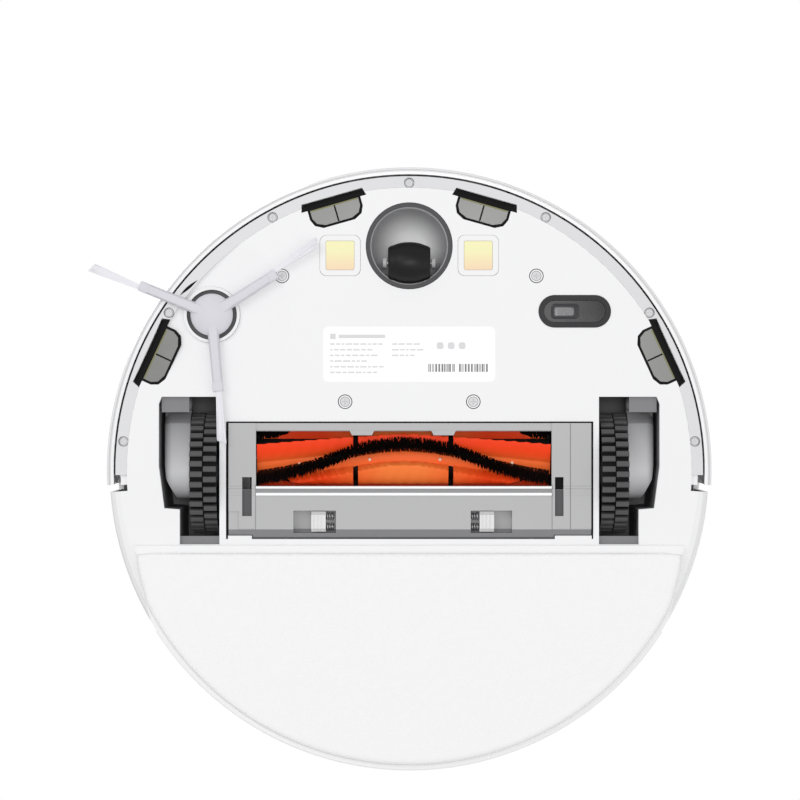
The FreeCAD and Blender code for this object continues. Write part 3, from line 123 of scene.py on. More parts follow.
def surface(name, colour, rough=0.45, specular=0.5, metallic=0.0, coat=0.0, grain=2200.0, relief=0.02,
            cloud=60.0, spread=0.05, rough_spread=0.06, stretch=(1.0, 1.0, 1.0), sheen=0.0, painted_light=None,
            zone=None):
    """A moulded or metal surface: cloudy tint and roughness, and a fine grain for its relief (in mm).
    A second colour can be mixed in by a per-point value on the mesh, which paints light and shade; zone is a
    list for banded()."""
    mat = bpy.data.materials.new(name)
    mat.use_nodes = True
    tree = mat.node_tree
    shader = tree.nodes["Principled BSDF"]
    shader.inputs["Metallic"].default_value = metallic
    shader.inputs["Specular IOR Level"].default_value = specular
    shader.inputs["Coat Weight"].default_value = coat
    shader.inputs["Coat Roughness"].default_value = 0.08
    shader.inputs["Sheen Weight"].default_value = sheen
    place = tree.nodes.new("ShaderNodeTexCoord")
    scale = tree.nodes.new("ShaderNodeMapping")
    scale.inputs["Scale"].default_value = stretch
    tree.links.new(place.outputs["Object"], scale.inputs["Vector"])

    clouds = tree.nodes.new("ShaderNodeTexNoise")
    clouds.inputs["Scale"].default_value = cloud
    clouds.inputs["Detail"].default_value = 5.0
    tree.links.new(scale.outputs["Vector"], clouds.inputs["Vector"])
    tint = tree.nodes.new("ShaderNodeMix")
    tint.data_type = "RGBA"
    tint.inputs["A"].default_value = shaded(colour, 1.0 - spread)
    tint.inputs["B"].default_value = shaded(colour, 1.0 + spread)
    tree.links.new(clouds.outputs["Fac"], tint.inputs["Factor"])
    painted = tint.outputs["Result"]
    if painted_light:
        value = tree.nodes.new("ShaderNodeAttribute")
        value.attribute_name = "painted_light"
        second = tree.nodes.new("ShaderNodeMix")
        second.data_type = "RGBA"
        second.inputs["B"].default_value = painted_light
        tree.links.new(value.outputs["Fac"], second.inputs["Factor"])
        tree.links.new(painted, second.inputs["A"])
        painted = second.outputs["Result"]
    for band in zone or []:
        painted = banded(tree, place, painted, band)
    tree.links.new(painted, shader.inputs["Base Color"])

    gloss = tree.nodes.new("ShaderNodeMapRange")
    gloss.inputs["To Min"].default_value = max(0.02, rough - rough_spread)
    gloss.inputs["To Max"].default_value = min(1.0, rough + rough_spread)
    tree.links.new(clouds.outputs["Fac"], gloss.inputs["Value"])
    tree.links.new(gloss.outputs["Result"], shader.inputs["Roughness"])

    fine = tree.nodes.new("ShaderNodeTexNoise")
    fine.inputs["Scale"].default_value = grain
    fine.inputs["Detail"].default_value = 2.0
    tree.links.new(scale.outputs["Vector"], fine.inputs["Vector"])
    bump = tree.nodes.new("ShaderNodeBump")
    bump.inputs["Strength"].default_value = 0.6
    bump.inputs["Distance"].default_value = relief * MM
    tree.links.new(fine.outputs["Fac"], bump.inputs["Height"])
    tree.links.new(bump.outputs["Normal"], shader.inputs["Normal"])
    return mat


def clear(name, colour, rough=0.08):
    """Tinted see-through plastic."""
    mat = surface(name, colour, rough=rough, relief=0.004, spread=0.08)
    mat.node_tree.nodes["Principled BSDF"].inputs["Transmission Weight"].default_value = 0.75
    return mat


WHITE = linear(246, 246, 247)
base_white = surface("base_white", WHITE, rough=0.5, specular=0.35, relief=0.015, spread=0.012)
shell_white = surface("shell_white", WHITE, rough=0.22, coat=0.35, relief=0.004, spread=0.012)
RIM = ("Z", 0.0, 0.0)
CUP = ("Z", *box_middle("caster_swivel")[:2])
AXLE = ("X", *box_middle("left_tyre")[1:])
# Painted shade: a grey band 174 to 175.3 mm from the centre stands for the shade on the bumper's curving
# lower edge.
bumper_white = surface("bumper_white", WHITE, rough=0.3, specular=0.45, coat=0.3, relief=0.004,
                       spread=0.012,
                       zone=[(RIM, 174.0, 175.3, linear(214, 214, 216), "step")])
strip_grey = surface("strip_grey", linear(226, 226, 228), rough=0.42, relief=0.012, spread=0.02)
# Painted shade: the guard's rear edge, Y 34.5 to 41 mm, is darkened in two steps.
guard_grey = surface("guard_grey", linear(188, 188, 189), rough=0.5, specular=0.3, spread=0.03,
                     zone=[("Y", 34.5, 41.0, linear(136, 136, 138), "step"),
                           ("Y", 38.9, 41.0, linear(96, 96, 98), "step")])
rail_grey = surface("rail_grey", linear(160, 160, 162), rough=0.5, specular=0.2, spread=0.04)
# Painted shade colour for the gaps round screw heads.
outline_grey = surface("outline_grey", linear(104, 104, 106), rough=0.5, specular=0.2, relief=0.01)
# Painted shade for the window recesses in the guard's end caps.
window_shade_grey = surface("window_shade_grey", linear(92, 92, 94), rough=0.5, specular=0.2, spread=0.06)
# Painted shade: the side brush ring darkens to grey higher up inside it, in the gap by the hub.
ring_white = surface("ring_white", WHITE, rough=0.5, specular=0.3, relief=0.015, spread=0.012,
                     zone=[("Z", 10.4, 12.6, linear(120, 120, 122), "ramp")])
olive_line = surface("olive_line", linear(126, 124, 84), rough=0.4, specular=0.3, relief=0.01)
# Painted light and shade: the wheel-arm housing is dark at its front end, lightens towards its middle (Y -30
# to 0) and greys again towards the rear (Y 14 to 32).
housing_grey = surface("housing_grey", linear(140, 140, 142), specular=0.35, spread=0.04,
                       zone=[("Y", -30.0, 0.0, linear(226, 226, 228), "ramp"),
                             ("Y", 14.0, 32.0, linear(168, 168, 170), "ramp")])
well_grey = surface("well_grey", linear(138, 138, 140), rough=0.55, specular=0.12, relief=0.03, spread=0.08)
bay_black = surface("bay_black", linear(30, 29, 29), rough=0.6, specular=0.06, relief=0.03, spread=0.1)
sensor_black = surface("sensor_black", linear(22, 22, 22), rough=0.5, specular=0.06, spread=0.1)
sensor_lens = surface("sensor_lens", linear(128, 128, 125), rough=0.25, specular=0.4, relief=0.01,
                      spread=0.12)
bezel_black = surface("bezel_black", linear(48, 48, 50), rough=0.4, specular=0.15, relief=0.015,
                      spread=0.06)
glass_black = surface("glass_black", linear(8, 8, 10), rough=0.1, specular=0.1, relief=0.002, spread=0.2)
lens_grey = surface("lens_grey", linear(60, 60, 63), rough=0.18, specular=0.3, relief=0.004, spread=0.15)
caster_ring = surface("caster_ring", linear(78, 78, 80), specular=0.2, relief=0.015, spread=0.06)
# Painted light: the caster cup lightens to white towards its middle, from 20 to 9 mm from its axis.
caster_cup = surface("caster_cup", linear(168, 168, 170), rough=0.35, specular=0.3, relief=0.012,
                     spread=0.02,
                     zone=[(CUP, 20.0, 9.0, linear(255, 255, 255), "ramp")])
caster_rubber = surface("caster_rubber", linear(24, 24, 24), rough=0.42, specular=0.25, spread=0.1)
# Painted highlight: the tyre's outer tread, 33 to 35.4 mm from the axle, lightens to grey.
tyre_rubber = surface("tyre_rubber", linear(22, 22, 23), rough=0.7, specular=0.15, relief=0.06,
                      grain=1500.0, spread=0.18, cloud=180.0,
                      zone=[(AXLE, 33.0, 35.4, linear(92, 92, 93), "ramp")])
hub_grey = surface("hub_grey", linear(92, 92, 94), rough=0.5, specular=0.2, spread=0.06)
gold = surface("contact_gold", linear(252, 248, 196), rough=0.5, specular=0.2, relief=0.01, spread=0.02,
               cloud=45.0,
               zone=[("Y", -128.0, -116.5, linear(252, 224, 190), "ramp")])
screw_steel = surface("screw_steel", linear(222, 222, 224), specular=0.3, relief=0.01, spread=0.06)
pin_steel = surface("pin_steel", linear(190, 190, 192), rough=0.22, metallic=1.0, relief=0.004,
                    stretch=(0.15, 1.0, 1.0))
spring_steel = surface("spring_steel", linear(176, 176, 178), rough=0.3, metallic=0.9, relief=0.006,
                       spread=0.1)
latch_grey = surface("latch_grey", linear(232, 232, 232), specular=0.3, relief=0.015, spread=0.03)
brush_lilac = surface("brush_lilac", linear(220, 219, 226), rough=0.5, specular=0.25, spread=0.03)
fibre_pale = surface("fibre_pale", linear(240, 239, 244), rough=0.55, specular=0.2, relief=0.01,
                     spread=0.06, cloud=700.0)
label_white = surface("label_white", linear(252, 252, 252), rough=0.3, specular=0.3, relief=0.004,
                      spread=0.008)
print_grey = surface("print_grey", linear(222, 222, 224), rough=0.4, specular=0.2, relief=0.004)
print_dark = surface("print_dark", linear(132, 132, 134), rough=0.4, specular=0.2, relief=0.004,
                     spread=0.08)
# Painted light and shade: the lighter orange is mixed in by a per-point value that stands for how light falls
# on the flaps.
orange = surface("roller_orange", linear(250, 58, 8), rough=0.5, specular=0.2, relief=0.03,
                 painted_light=linear(255, 134, 62))
bristle_black = surface("bristle_black", linear(26, 17, 15), rough=0.6, specular=0.08, spread=0.25,
                        cloud=900.0)
# Painted glint colour for the small domes on the roller's core.
painted_glint_pale = surface("painted_glint_pale", linear(255, 224, 198), rough=0.3, specular=0.4, relief=0.004, spread=0.04)
dark_grey = surface("drive_grey", linear(118, 118, 121), rough=0.5)
fan_black = surface("fan_black", linear(60, 60, 62), rough=0.4, relief=0.015, spread=0.06)
bin_cover = surface("bin_cover", linear(196, 196, 198), rough=0.42, relief=0.015, spread=0.03)
board_green = surface("board_green", linear(18, 92, 52), rough=0.35, spread=0.12, cloud=300.0)
battery_wrap = surface("battery_wrap", linear(70, 82, 104), rough=0.35, spread=0.08)
filter_paper = surface("filter_paper", linear(236, 233, 224), rough=0.9, specular=0.1, relief=0.05)
bin_smoke = clear("bin_smoke", linear(120, 120, 124))
smoke_window = surface("smoke_window", linear(34, 34, 38), rough=0.08, coat=0.5, relief=0.002)
mop_cloth = surface("mop_cloth", linear(250, 250, 250), rough=0.95, specular=0.05, relief=0.35, grain=900.0,
                    spread=0.02, cloud=400.0, sheen=0.3)

LOOKS = {
    base_white: ["base_plate", "contact_frames", "mop_plate"],
    ring_white: ["side_brush_ring"],
    bumper_white: ["bumper"],
    shell_white: ["top_shell", "top_lid", "water_tank", "tank_release_button", "power_button",
                  "home_button"],
    strip_grey: ["bumper_retainer"],
    smoke_window: ["bumper_window"],
    screw_steel: ["base_screws", "retainer_screws"],
    label_white: ["rating_label"],
    sensor_black: ["front_left_cliff_housing", "front_right_cliff_housing", "side_left_cliff_housing",
                   "side_right_cliff_housing"],
    sensor_lens: ["cliff_windows"],
    gold: ["charge_contacts"],
    bezel_black: ["flow_sensor_bezel", "camera_bezel"],
    glass_black: ["flow_sensor_window", "camera_lens"],
    caster_ring: ["caster_ring"],
    caster_cup: ["caster_swivel"],
    caster_rubber: ["caster_wheel"],
    pin_steel: ["caster_axle", "lid_hinge_pins"],
    well_grey: ["left_wheel_frame", "right_wheel_frame"],
    housing_grey: ["left_wheel_arm", "right_wheel_arm"],
    hub_grey: ["left_wheel_hub", "right_wheel_hub"],
    tyre_rubber: ["left_tyre", "right_tyre"],
    dark_grey: ["side_brush_motor", "roller_drive_unit", "fan_housing", "roller_bearing"],
    bay_black: ["brush_bay"],
    guard_grey: ["brush_guard"],
    latch_grey: ["left_guard_latch", "right_guard_latch"],
    bin_smoke: ["dust_bin"],
    bin_cover: ["bin_cover"],
    filter_paper: ["dust_filter"],
    battery_wrap: ["battery_pack"],
    board_green: ["main_board"],
    fan_black: ["fan_impeller"],
}
for look, names in LOOKS.items():
    for name in names:
        nodes[name].data.materials.clear()
        nodes[name].data.materials.append(look)


# ---------------------------------------------------------------- mesh tools

class Shape:
    """Points and faces of one piece, in mm in the row frame, each face with the number of its look."""

    def __init__(self):
        self.points = []
        self.faces = []
        self.looks = []
        self.painted_light_values = []

    def add(self, points, faces, look=0, painted_light_values=None):
        start = len(self.points)
        self.points.extend(tuple(point) for point in points)
        self.faces.extend(tuple(start + index for index in face) for face in faces)
        self.looks.extend([look] * len(faces))
        self.painted_light_values.extend(painted_light_values if painted_light_values is not None else [0.0] * len(points))

    def lathe(self, profile, spot, sides=64, look=0, axis="Z"):
        """A turned shape from (radius, distance) pairs, about an upright axis at spot, or with "X" a level
        one."""
        points = []
        faces = []
        for radius, height in profile:
            for index in range(sides):
                angle = 2.0 * math.pi * index / sides
                across = radius * math.cos(angle)
                up = radius * math.sin(angle)
                if axis == "Z":
                    points.append((spot[0] + across, spot[1] + up, height))
                else:
                    points.append((height, spot[0] - across, spot[1] + up))
        for row in range(len(profile) - 1):
            for index in range(sides):
                after = (index + 1) % sides
                faces.append((row * sides + index, row * sides + after, (row + 1) * sides + after,
                              (row + 1) * sides + index))
        self.add(points, faces, look)

    def sweep(self, path, sections, look=0, up=(0.0, 0.0, 1.0), closed_ends=True):
        """Joins one section outline, (across, up) pairs, at each point of a path."""
        path = [Vector(point) for point in path]
        count = len(sections[0])
        points = []
        faces = []
        for index, here in enumerate(path):
            ahead = path[min(index + 1, len(path) - 1)] - path[max(index - 1, 0)]
            ahead.normalize()
            across = ahead.cross(Vector(up))
            across.normalize()
            rise = across.cross(ahead)
            for side, height in sections[index]:
                points.append(here + across * side + rise * height)
        for row in range(len(path) - 1):
            for index in range(count):
                after = (index + 1) % count
                faces.append((row * count + index, row * count + after, (row + 1) * count + after,
                              (row + 1) * count + index))
        if closed_ends:
            last = (len(path) - 1) * count
            faces.append(tuple(reversed(range(count))))
            faces.append(tuple(last + index for index in range(count)))
        self.add(points, faces, look)

    def slab(self, outline, low, high, look=0):
        """A flat plate of one outline between two heights."""
        count = len(outline)
        points = [(x, y, low) for x, y in outline] + [(x, y, high) for x, y in outline]
        faces = [tuple(reversed(range(count))), tuple(range(count, 2 * count))]
        for index in range(count):
            after = (index + 1) % count
            faces.append((index, after, count + after, count + index))
        self.add(points, faces, look)

    def piece(self, name, materials, body, stands_for=(), smooth=None):
        mesh = bpy.data.meshes.new(name)
        mesh.from_pydata([(x * MM, y * MM, z * MM) for x, y, z in self.points], [], self.faces)
        obj = bpy.data.objects.new(name, mesh)
        bpy.context.scene.collection.objects.link(obj)
        for look in materials:
            mesh.materials.append(look)
        mesh.polygons.foreach_set("material_index", self.looks)
        # Per-point painted light and shade, read by the material.
        if any(self.painted_light_values):
            values = mesh.attributes.new("painted_light", "FLOAT", "POINT")
            values.data.foreach_set("value", self.painted_light_values)
        mesh.validate()
        mesh.update()
        if smooth is not None:
            mesh.shade_smooth()
            mesh.set_sharp_from_angle(angle=math.radians(smooth))
        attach(obj, body)
        if stands_for:
            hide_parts(*stands_for)
        return obj


def superellipse(half_width, half_height, sides=16, power=0.5):
    """A rounded box-like section."""
    outline = []
    for index in range(sides):
        angle = 2.0 * math.pi * (index + 0.5) / sides
        c = math.cos(angle)
        s = math.sin(angle)
        outline.append((half_width * math.copysign(abs(c) ** power, c),
                        half_height * math.copysign(abs(s) ** power, s)))
    return outline


def smooth_line(points, steps=6):
    """A curve through all the points (Catmull-Rom)."""
    line = []
    for index in range(len(points) - 1):
        before = points[max(index - 1, 0)]
        start = points[index]
        end = points[index + 1]
        after = points[min(index + 2, len(points) - 1)]
        for step in range(steps):
            t = step / steps
            line.append(tuple(
                0.5 * (2 * b + (c - a) * t + (2 * a - 5 * b + 4 * c - d) * t * t
                       + (3 * b - a - 3 * c + d) * t ** 3)
                for a, b, c, d in zip(before, start, end, after)))
    line.append(tuple(points[-1]))
    return line


def circle(radius, sides=8):
    return superellipse(radius, radius, sides, 1.0)


def rounded_outline(centre_x, centre_y, half_x, half_y, radius, steps=6):
    """A rounded rectangle, as (x, y) points."""
    outline = []
    for quarter, (sx, sy) in enumerate([(1, 1), (-1, 1), (-1, -1), (1, -1)]):
        for step in range(steps + 1):
            angle = math.radians(90.0 * quarter + 90.0 * step / steps)
            outline.append((centre_x + sx * (half_x - radius) + radius * math.cos(angle),
                            centre_y + sy * (half_y - radius) + radius * math.sin(angle)))
    return outline


def coil(shape, start, end, radius, turns, wire, look=0):
    """A coil spring between two points, its first and last turns closed up."""
    start = Vector(start)
    axis = Vector(end) - start
    length = axis.length
    axis.normalize()
    side = axis.orthogonal().normalized()
    other = axis.cross(side)
    path = []
    steps = int(turns * 18)
    for index in range(steps + 1):
        share = index / steps
        angle = 2.0 * math.pi * turns * share
        along = wire + (length - 2.0 * wire) * (share + 0.04 * math.sin(2.0 * math.pi * share) * -1.0)
        path.append(start + axis * along + side * radius * math.cos(angle) + other * radius * math.sin(angle))
    shape.sweep(path, [circle(wire)] * len(path), look, up=tuple(axis))


# ---------------------------------------------------------------- roller

ROLLER_LOW, ROLLER_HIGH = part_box("roller_bristles")
CORE_LOW, CORE_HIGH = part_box("roller_core")
ROLLER_Y, ROLLER_Z = box_middle("roller_core")[1:]
ROLLER_LEFT = ROLLER_LOW.x / MM - 0.6
ROLLER_RIGHT = ROLLER_HIGH.x / MM + 0.6
APEX = (ROLLER_LEFT + ROLLER_RIGHT) / 2 + 0.4
CORE_RADIUS = 12.4
FLAP_RADIUS = 19.2
TUFT_RADIUS = 20.4
REPEAT = 120.0
SLOTS = (-31.2, 24.3)
STATIONS = (0.0, 10.0, 20.0, 30.0, 42.0, 54.0, 70.0, 85.0)
FRONT_TIP = (-50.0, -47.2, -44.4, -41.6, -38.2, -34.9, -30.4, -26.4)
FRONT_FOOT = (-30.0, -25.0, -20.3, -15.4, -9.5, -3.7, 4.1, 11.4)
TUFT_LINE = (-30.5, -28.0, -22.5, -14.8, 1.0, 16.0, 32.0, 45.0)
REAR_TIP = (10.5, 12.5, 18.0, 24.0, 33.0, 42.0, 52.0, 60.0)
REAR_END = 51.0
DRAIN_START = 211.5
DRAIN_END = 247.5
PINS = ((-64.0, 15.0), (-23.0, 3.0), (18.0, 3.0), (60.0, 12.0))


def along(values, distance):
    return float(np.interp(distance, STATIONS, values))


def on_roller(x, degrees, radius):
    """A point of the roller: 0 degrees is straight down, and more turns towards the rear."""
    angle = math.radians(degrees)
    return (x, ROLLER_Y + radius * math.sin(angle), ROLLER_Z - radius * math.cos(angle))


def flap_height(turn, tip, foot, height):
    """Height above the core of a leaning flap: steep before its tip, a long slope behind it."""
    if turn < tip - 4.0 or turn > foot:
        return 0.0
    if turn < tip:
        return height * (1.0 + (turn - tip) / 4.0)
    return height * (1.0 - (turn - tip) / (foot - tip))


def land_height(turn, tip, end, height):
    """Height of a broad raised land with steep sides."""
    if turn < tip - 3.0 or turn > end + 3.0:
        return 0.0
    return height * min(1.0, (turn - tip + 3.0) / 3.0, (end + 3.0 - turn) / 3.0)


def roller_skin():
    """The rubber roller: a core with leaning chevron flaps, notched at two places."""
    shape = Shape()
    columns = sorted(set(
        [round(float(x), 3) for x in np.linspace(ROLLER_LEFT, ROLLER_RIGHT, 150)]
        + [slot + side for slot in SLOTS for side in (-1.5, -1.4, 1.4, 1.5)]))
    turns = np.arange(0.0, 360.0, 2.0)
    full = FLAP_RADIUS - CORE_RADIUS
    points = []
    painted_light_values = []
    dark = []
    for x in columns:
        distance = abs(x - APEX)
        front_tip = along(FRONT_TIP, distance)
        front_foot = along(FRONT_FOOT, distance)
        rear_tip = along(REAR_TIP, distance)
        tuft = along(TUFT_LINE, distance)
        fade = min(1.0, max(0.0, (80.0 - distance) / 18.0))
        in_slot = any(abs(x - slot) < 1.45 for slot in SLOTS)
        for turn in turns:
            local = (turn + 56.0) % REPEAT - 56.0
            front = flap_height(local, front_tip, front_foot, full)
            rear = land_height(local, rear_tip, REAR_END, full * fade)
            rise = max(front, rear)
            # Painted light and shade: how much lighter orange each point gets, more towards a flap's foot,
            # and on the rear lands less towards the roller's ends.
            if front >= rear and front > 0.05:
                painted_light = 0.04 + 0.5 * max(0.0, (local - front_tip) / (front_foot - front_tip)) ** 3
            elif local < rear_tip - 3.0:
                painted_light = 0.6
            else:
                painted_light = 0.9 * min(1.0, max(0.12, 1.25 - distance / 42.0))
            # Painted shade: points in the slot notches and in the deep valleys between flaps are marked for
            # the bay's black; the strip under the tufts is marked black as well.
            notch = in_slot and rise > 1.0
            strip = abs(local - tuft) < 8.0
            valley = local < front_tip - 3.0 or local > REAR_END + 2.0
            if in_slot:
                rise = min(rise, 0.3)
            if strip:
                rise = max(rise, 2.4)
            ripple = 0.12 * math.sin(x * 0.9 + local * 0.13) * (1.0 if rise > 1.0 else 0.3)
            around = local + REPEAT * math.floor((turn + 56.0) / REPEAT)
            points.append(on_roller(x, around, CORE_RADIUS + rise + ripple))
            painted_light_values.append(min(1.0, painted_light))
            dark.append(notch or valley or strip)
    count = len(turns)
    faces = []
    looks = []
    for row in range(len(columns) - 1):
        for index in range(count):
            after = (index + 1) % count
            corners = (row * count + index, (row + 1) * count + index, (row + 1) * count + after,
                       row * count + after)
            faces.append(corners)
            looks.append(1 if sum(dark[corner] for corner in corners) > 2 else 0)
    last = (len(columns) - 1) * count
    faces.append(tuple(range(count)))
    faces.append(tuple(last + index for index in reversed(range(count))))
    looks.extend([1, 1])
    start = len(shape.faces)
    shape.add(points, faces, 0, painted_light_values)
    shape.looks[start:] = looks
    for low, high in ((CORE_LOW.x / MM, ROLLER_LEFT + 0.5), (ROLLER_RIGHT - 0.5, CORE_HIGH.x / MM)):
        path = [(low, ROLLER_Y, ROLLER_Z), (low + 0.4, ROLLER_Y, ROLLER_Z), (high, ROLLER_Y, ROLLER_Z)]
        shape.sweep(path, [circle(2.6, 24), circle(3.0, 24), circle(3.0, 24)], 2)
    # Painted glints: small domes on the core, tinted pale.
    for repeat in range(3):
        for x, turn in PINS:
            path = [on_roller(x + step, turn + repeat * REPEAT, CORE_RADIUS + 0.3) for step in (-1.0, -0.5,
                                                                                                0.0, 0.5,
                                                                                                1.0)]
            shape.sweep(path, [circle(size, 10) for size in (0.2, 0.9, 1.1, 0.9, 0.2)], 3)
    obj = shape.piece("roller_flaps", [orange, bay_black, pin_steel, painted_glint_pale], "roller",
                      ["roller_core"], smooth=50)
    return obj


def roller_tufts():
    """Three rows of bristles, each tuft a fan of tapering fibres."""
    shape = Shape()
    for repeat in range(3):
        x = ROLLER_LEFT + 1.2
        while x < ROLLER_RIGHT - 1.0:
            distance = abs(x - APEX)
            centre = along(TUFT_LINE, distance) + repeat * REPEAT
            reach = TUFT_RADIUS - dice.uniform(0.0, 0.5)
            for blade in range(9):
                lean = (blade - 4) / 4.0
                base_turn = centre + lean * 9.0
                tip_turn = centre + lean * 12.5 + dice.uniform(-1.6, 1.6)
                foot = Vector(on_roller(x + dice.uniform(-0.4, 0.4), base_turn, CORE_RADIUS - 0.6))
                tip = Vector(on_roller(x + dice.uniform(-0.9, 0.9), tip_turn,
                                       reach - 1.1 * lean * lean - dice.uniform(0.0, 0.5)))
                shape.sweep([foot, foot.lerp(tip, 0.7), tip],
                            [circle(0.62, 3), circle(0.5, 3), circle(0.14, 3)],
                            up=(1.0, 0.0, 0.0), closed_ends=False)
            x += 1.05
    return shape.piece("roller_tufts", [bristle_black], "roller", ["roller_bristles"])


# ---------------------------------------------------------------- side brush

BRUSH_X, BRUSH_Y = box_middle("side_brush_ring")[:2]
ARM_TURNS = (84.6, -32.2, 202.0)
TUFT_TURNS = (85.2, -34.2, 201.7)
HUB_RADIUS = 12.3
COLLAR_AT = 42.0
BRUSH_REACH = 75.9
FIBRES_PER_BUNDLE = 84
WHEEL_SIDE_ROOM = 0.5


def on_brush(turn, reach, side, height):
    angle = math.radians(turn)
    return (BRUSH_X + reach * math.cos(angle) - side * math.sin(angle),
            BRUSH_Y + reach * math.sin(angle) + side * math.cos(angle), height)


def arm_section(half_width, half_height):
    """Flat below, where it is seen, with sloping sides."""
    return [(-half_width, half_height * 0.5), (-half_width, half_height), (half_width, half_height),
            (half_width, half_height * 0.5), (half_width * 0.72, -half_height * 0.85),
            (half_width * 0.6, -half_height), (-half_width * 0.6, -half_height),
            (-half_width * 0.72, -half_height * 0.85)]


def brush_hub():
    """The domed rubber hub with its three stems and their collars."""
    shape = Shape()
    dome = []
    for step in range(15):
        angle = math.radians(90.0 * step / 14)
        dome.append((max(0.02, HUB_RADIUS * math.sin(angle)), 8.4 - 4.8 * math.cos(angle)))
    dome += [(HUB_RADIUS, 11.0), (11.6, 11.6), (6.0, 12.2), (6.0, 15.0), (3.0, 15.0), (3.0, 20.8),
             (0.02, 20.8)]
    shape.lathe(dome, (BRUSH_X, BRUSH_Y), 72)
    for turn in ARM_TURNS:
        reaches = (4.0, 7.5, 10.0, 13.0, 18.0, 26.0, 34.0, 40.0)
        widths = (4.6, 4.2, 3.6, 3.25, 3.1, 3.0, 2.95, 2.9)
        heights = (1.9, 1.95, 1.9, 1.8, 1.75, 1.65, 1.55, 1.5)
        path = [on_brush(turn, reach, 0.0, 6.5 - max(0.0, reach - 9.0) * 0.075) for reach in reaches]
        shape.sweep(path, [arm_section(w, h) for w, h in zip(widths, heights)])
        collar = [on_brush(turn, COLLAR_AT + step, 0.0, 4.2 - 0.05 * step) for step in (-3.0, -2.6, 0.0,
                                                                                        2.4, 2.8)]
        shape.sweep(collar,
                    [superellipse(size, size * 0.62, 16, 0.45) for size in (2.5, 2.95, 3.05, 2.95, 2.5)])
    obj = shape.piece("brush_hub", [brush_lilac], "side_brush", ["side_brush_hub"])
    bevel = obj.modifiers.new("soft_edges", "BEVEL")
    bevel.width = 0.35 * MM
    bevel.segments = 2
    bevel.limit_method = "ANGLE"
    bevel.angle_limit = math.radians(32)
    apply_modifiers(obj)
    obj.data.shade_smooth()
    obj.data.set_sharp_from_angle(angle=math.radians(60))
    return obj


def apply_modifiers(obj):
    bpy.context.view_layer.update()
    graph = bpy.context.evaluated_depsgraph_get()
    mesh = bpy.data.meshes.new_from_object(obj.evaluated_get(graph))
    obj.modifiers.clear()
    obj.data = mesh


def brush_fibres():
    """Each bundle is many fine fibres that flare, droop and end at a slant."""
    shape = Shape()
    for arm, turn in zip(ARM_TURNS, TUFT_TURNS):
        shift = (arm - turn) * math.radians(COLLAR_AT)
        for _ in range(FIBRES_PER_BUNDLE):
            share = dice.uniform(-1.0, 1.0)
            layer = dice.uniform(-0.5, 0.5)
            reach = BRUSH_REACH - 1.3 * (1.0 + share) - dice.uniform(0.0, 1.2)
            bow = dice.uniform(-0.25, 0.25)
            path = []
            for step in range(5):
                part = step / 4.0
                here = COLLAR_AT + (reach - COLLAR_AT) * part
                side = share * (2.1 + 0.8 * part) + bow * math.sin(math.pi * part) + shift * (1.0 - part) ** 2
                side = min(side, WHEEL_SIDE_ROOM + 1.9 * part)
                height = 4.2 - 1.6 * part ** 1.4 + layer * (1.2 + 0.3 * part)
                path.append(on_brush(turn, here, side, height))
            shape.sweep(path, [circle(0.3, 4)] * 4 + [circle(0.2, 4)])
    return shape.piece("brush_fibres", [fibre_pale], "side_brush", ["side_brush_bristles"])


# ---------------------------------------------------------------- springs, label, lens, icons

def latch_springs():
    """One short coil behind each finger latch of the guard."""
    made = []
    for side, sign in (("left", 1.0), ("right", -1.0)):
        low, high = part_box(side + "_guard_latch")
        start = (high.x if sign > 0 else low.x) / MM
        y = (low.y + high.y) / 2 / MM
        shape = Shape()
        for shift in (-3.1, 3.1):
            coil(shape, (start + 0.05 * sign, y + shift, 12.6), (start + 5.2 * sign, y + shift, 12.6), 1.9,
                 3.5, 0.42)
        obj = shape.piece(side + "_latch_spring", [spring_steel], "guard", smooth=60)
        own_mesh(obj)
        made.append(obj)
    return made


def wheel_springs():
    """The coil above each wheel arm, which stands for the CAD sleeve."""
    for side in ("left", "right"):
        low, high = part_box(side + "_wheel_spring")
        x = (low.x + high.x) / 2 / MM
        y = (low.y + high.y) / 2 / MM
        shape = Shape()
        coil(shape, (x, y, low.z / MM), (x, y, high.z / MM), 3.3, 7.5, 0.6)
        obj = shape.piece(side + "_wheel_coil", [spring_steel], "chassis",
                          [side + "_wheel_spring"],
                          smooth=60)
        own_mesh(obj)


def label_print():
    """Generic lines and bars on the rating label: no lettering."""
    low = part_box("rating_label")[0]
    bottom = low.z / MM
    shape = Shape()

    def bar(x, y, width, depth, look):
        shape.slab([(x, y), (x + width, y), (x + width, y + depth), (x, y + depth)], bottom - 0.05,
                   bottom + 0.02, look)

    left = low.x / MM
    top = low.y / MM
    bar(left + 4.0, top + 4.0, 3.2, 3.2, 0)
    bar(left + 9.0, top + 4.6, 27.0, 2.0, 0)
    for row in range(6):
        y = top + 9.6 + row * 3.3
        x = left + 4.0
        stop = x + (31.0, 24.0, 27.0, 22.0, 29.0, 26.0)[row]
        while x < stop:
            width = dice.uniform(1.4, 4.6)
            bar(x, y, width, 0.9, 0)
            x += width + 0.8
    for row in range(3):
        x = left + 40.0
        stop = x + (14.0, 17.0, 11.0)[row]
        y = top + 9.6 + row * 3.3
        while x < stop:
            width = dice.uniform(1.4, 4.0)
            bar(x, y, width, 0.9, 0)
            x += width + 0.8
    for index in range(3):
        shape.slab(rounded_outline(left + 68.0 + index * 6.4, top + 11.0, 2.0, 2.0, 1.4), bottom - 0.05,
                   bottom + 0.02, 0)
    for start, stop in ((11.0, 26.5), (29.0, 45.0)):
        x = start
        while x < stop:
            width = dice.choice((0.35, 0.35, 0.7, 1.0))
            bar(x, -61.7, width, 4.6, 1)
            x += width + dice.choice((0.35, 0.5, 0.8))
    return shape.piece("label_print", [print_grey, print_dark], "chassis")


